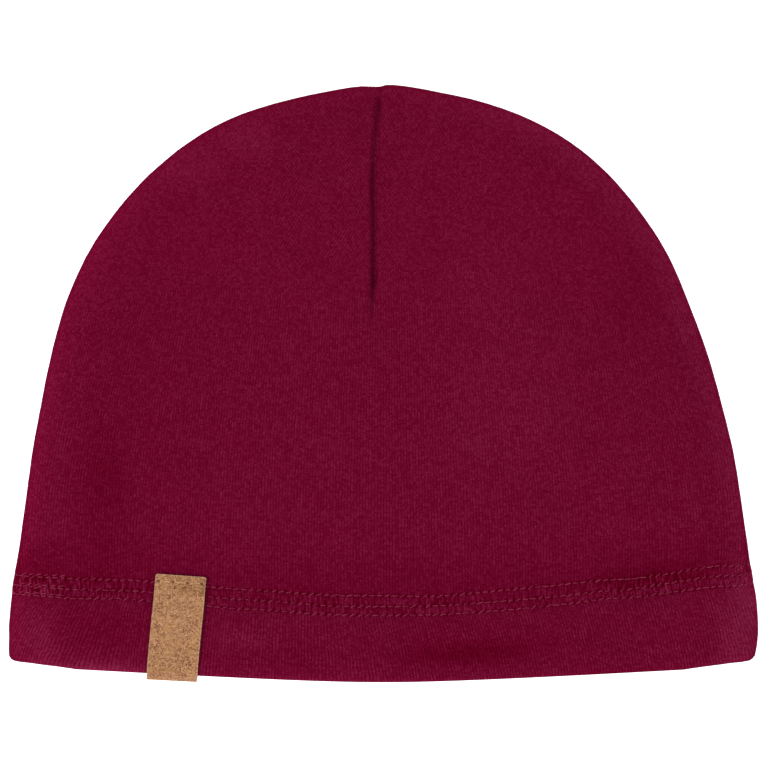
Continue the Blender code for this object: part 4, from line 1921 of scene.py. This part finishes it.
@dataclass
class Studio:
    """The floor, the lights and the camera, which looks straight down from a distance above the hat's level."""
    aim: tuple[float, float] = (0.44 * MM, -0.59 * MM)
    view_width: float = 226.8 * MM
    focal_length: float = 250.0
    sensor: float = 36.0
    hat_level: float = 5.0 * MM
    farthest: float = 50.0
    floor_half: float = 6.0
    floor_drop: float = 0.03 * MM
    key_place: tuple[float, float, float] = (-0.85, -0.40, 1.35)
    key_size: float = 0.8
    key_power: float = 9.9
    sky: float = 0.775

    def build(self) -> None:
        """Sets everything up."""
        signs = ((-1.0, -1.0), (1.0, -1.0), (1.0, 1.0), (-1.0, 1.0))
        corners = np.array([(x * self.floor_half, y * self.floor_half, -self.floor_drop) for x, y in signs])
        floor = mesh_object("studio_floor", corners, [(0, 1, 2, 3)])
        floor.data.materials.append(FloorFinish().make())
        self.key_light()
        world = bpy.data.worlds.new("studio_sky")
        world.use_nodes = True
        sky = world.node_tree.nodes["Background"]
        sky.inputs["Color"].default_value = (1.0, 1.0, 1.0, 1.0)
        sky.inputs["Strength"].default_value = self.sky
        bpy.context.scene.world = world
        self.camera()
        bpy.context.scene.view_settings.view_transform = "Standard"

    def key_light(self) -> None:
        """Hangs a square soft light that looks at the hat."""
        data = bpy.data.lights.new("key_light", "AREA")
        data.shape = "SQUARE"
        data.size = self.key_size
        data.energy = self.key_power
        lamp = bpy.data.objects.new("key_light", data)
        lamp.location = self.key_place
        lamp.rotation_euler = Vector(self.key_place).to_track_quat("Z", "Y").to_euler()
        bpy.context.scene.collection.objects.link(lamp)

    def camera(self) -> None:
        """Hangs the camera over the hat."""
        data = bpy.data.cameras.new("camera")
        data.sensor_width = self.sensor
        data.lens = self.focal_length
        data.clip_end = self.farthest
        camera = bpy.data.objects.new("camera", data)
        distance = self.view_width * self.focal_length / self.sensor
        camera.location = (*self.aim, distance + self.hat_level)
        bpy.context.scene.collection.objects.link(camera)
        bpy.context.scene.camera = camera


def report(*pieces: bpy.types.Object) -> None:
    """Logs each piece's name and how many faces it has."""
    for piece in pieces:
        LOG.info("%s: %d faces", piece.name, len(piece.data.polygons))


def main() -> None:
    """Builds the hat and its studio."""
    logging.basicConfig(level=logging.INFO, format="%(name)s: %(message)s")
    Studio().build()
    form = HatForm()
    cloth = KnitFinish().make()
    thread = ThreadFinish("wine_thread", (0.180, 0.009, 0.036), (0.325, 0.038, 0.094)).make()
    tan_thread = ThreadFinish("tan_thread", (0.42, 0.22, 0.10), (0.66, 0.41, 0.23)).make()
    front = Panel("front_cloth", "front_panel", Face.FRONT, form, columns=400, crown_step=2.4 * MM,
                  band_step=0.45 * MM, hem_step=1.2 * MM).build(cloth)
    back = Panel("back_cloth", "back_panel", Face.BACK, form, columns=300, crown_step=3.0 * MM,
                 band_step=0.7 * MM, hem_step=1.6 * MM).build(cloth)
    report(front, back)
    sewing = Sewing(form, ThreadTree())
    hem = HemSewing(sewing, thread)
    front_sewing = hem.build(Face.FRONT, "front")
    back_sewing = hem.build(Face.BACK, "back")
    report(*front_sewing, *back_sewing)
    label = HemLabel(sewing)
    strip = label.build(CorkFinish().make())
    label_stitches = label.sew(tan_thread)
    report(strip, label_stitches)
    allowance = SeamAllowance(form).build(cloth)
    report(allowance)


if __name__ == "__main__":
    main()
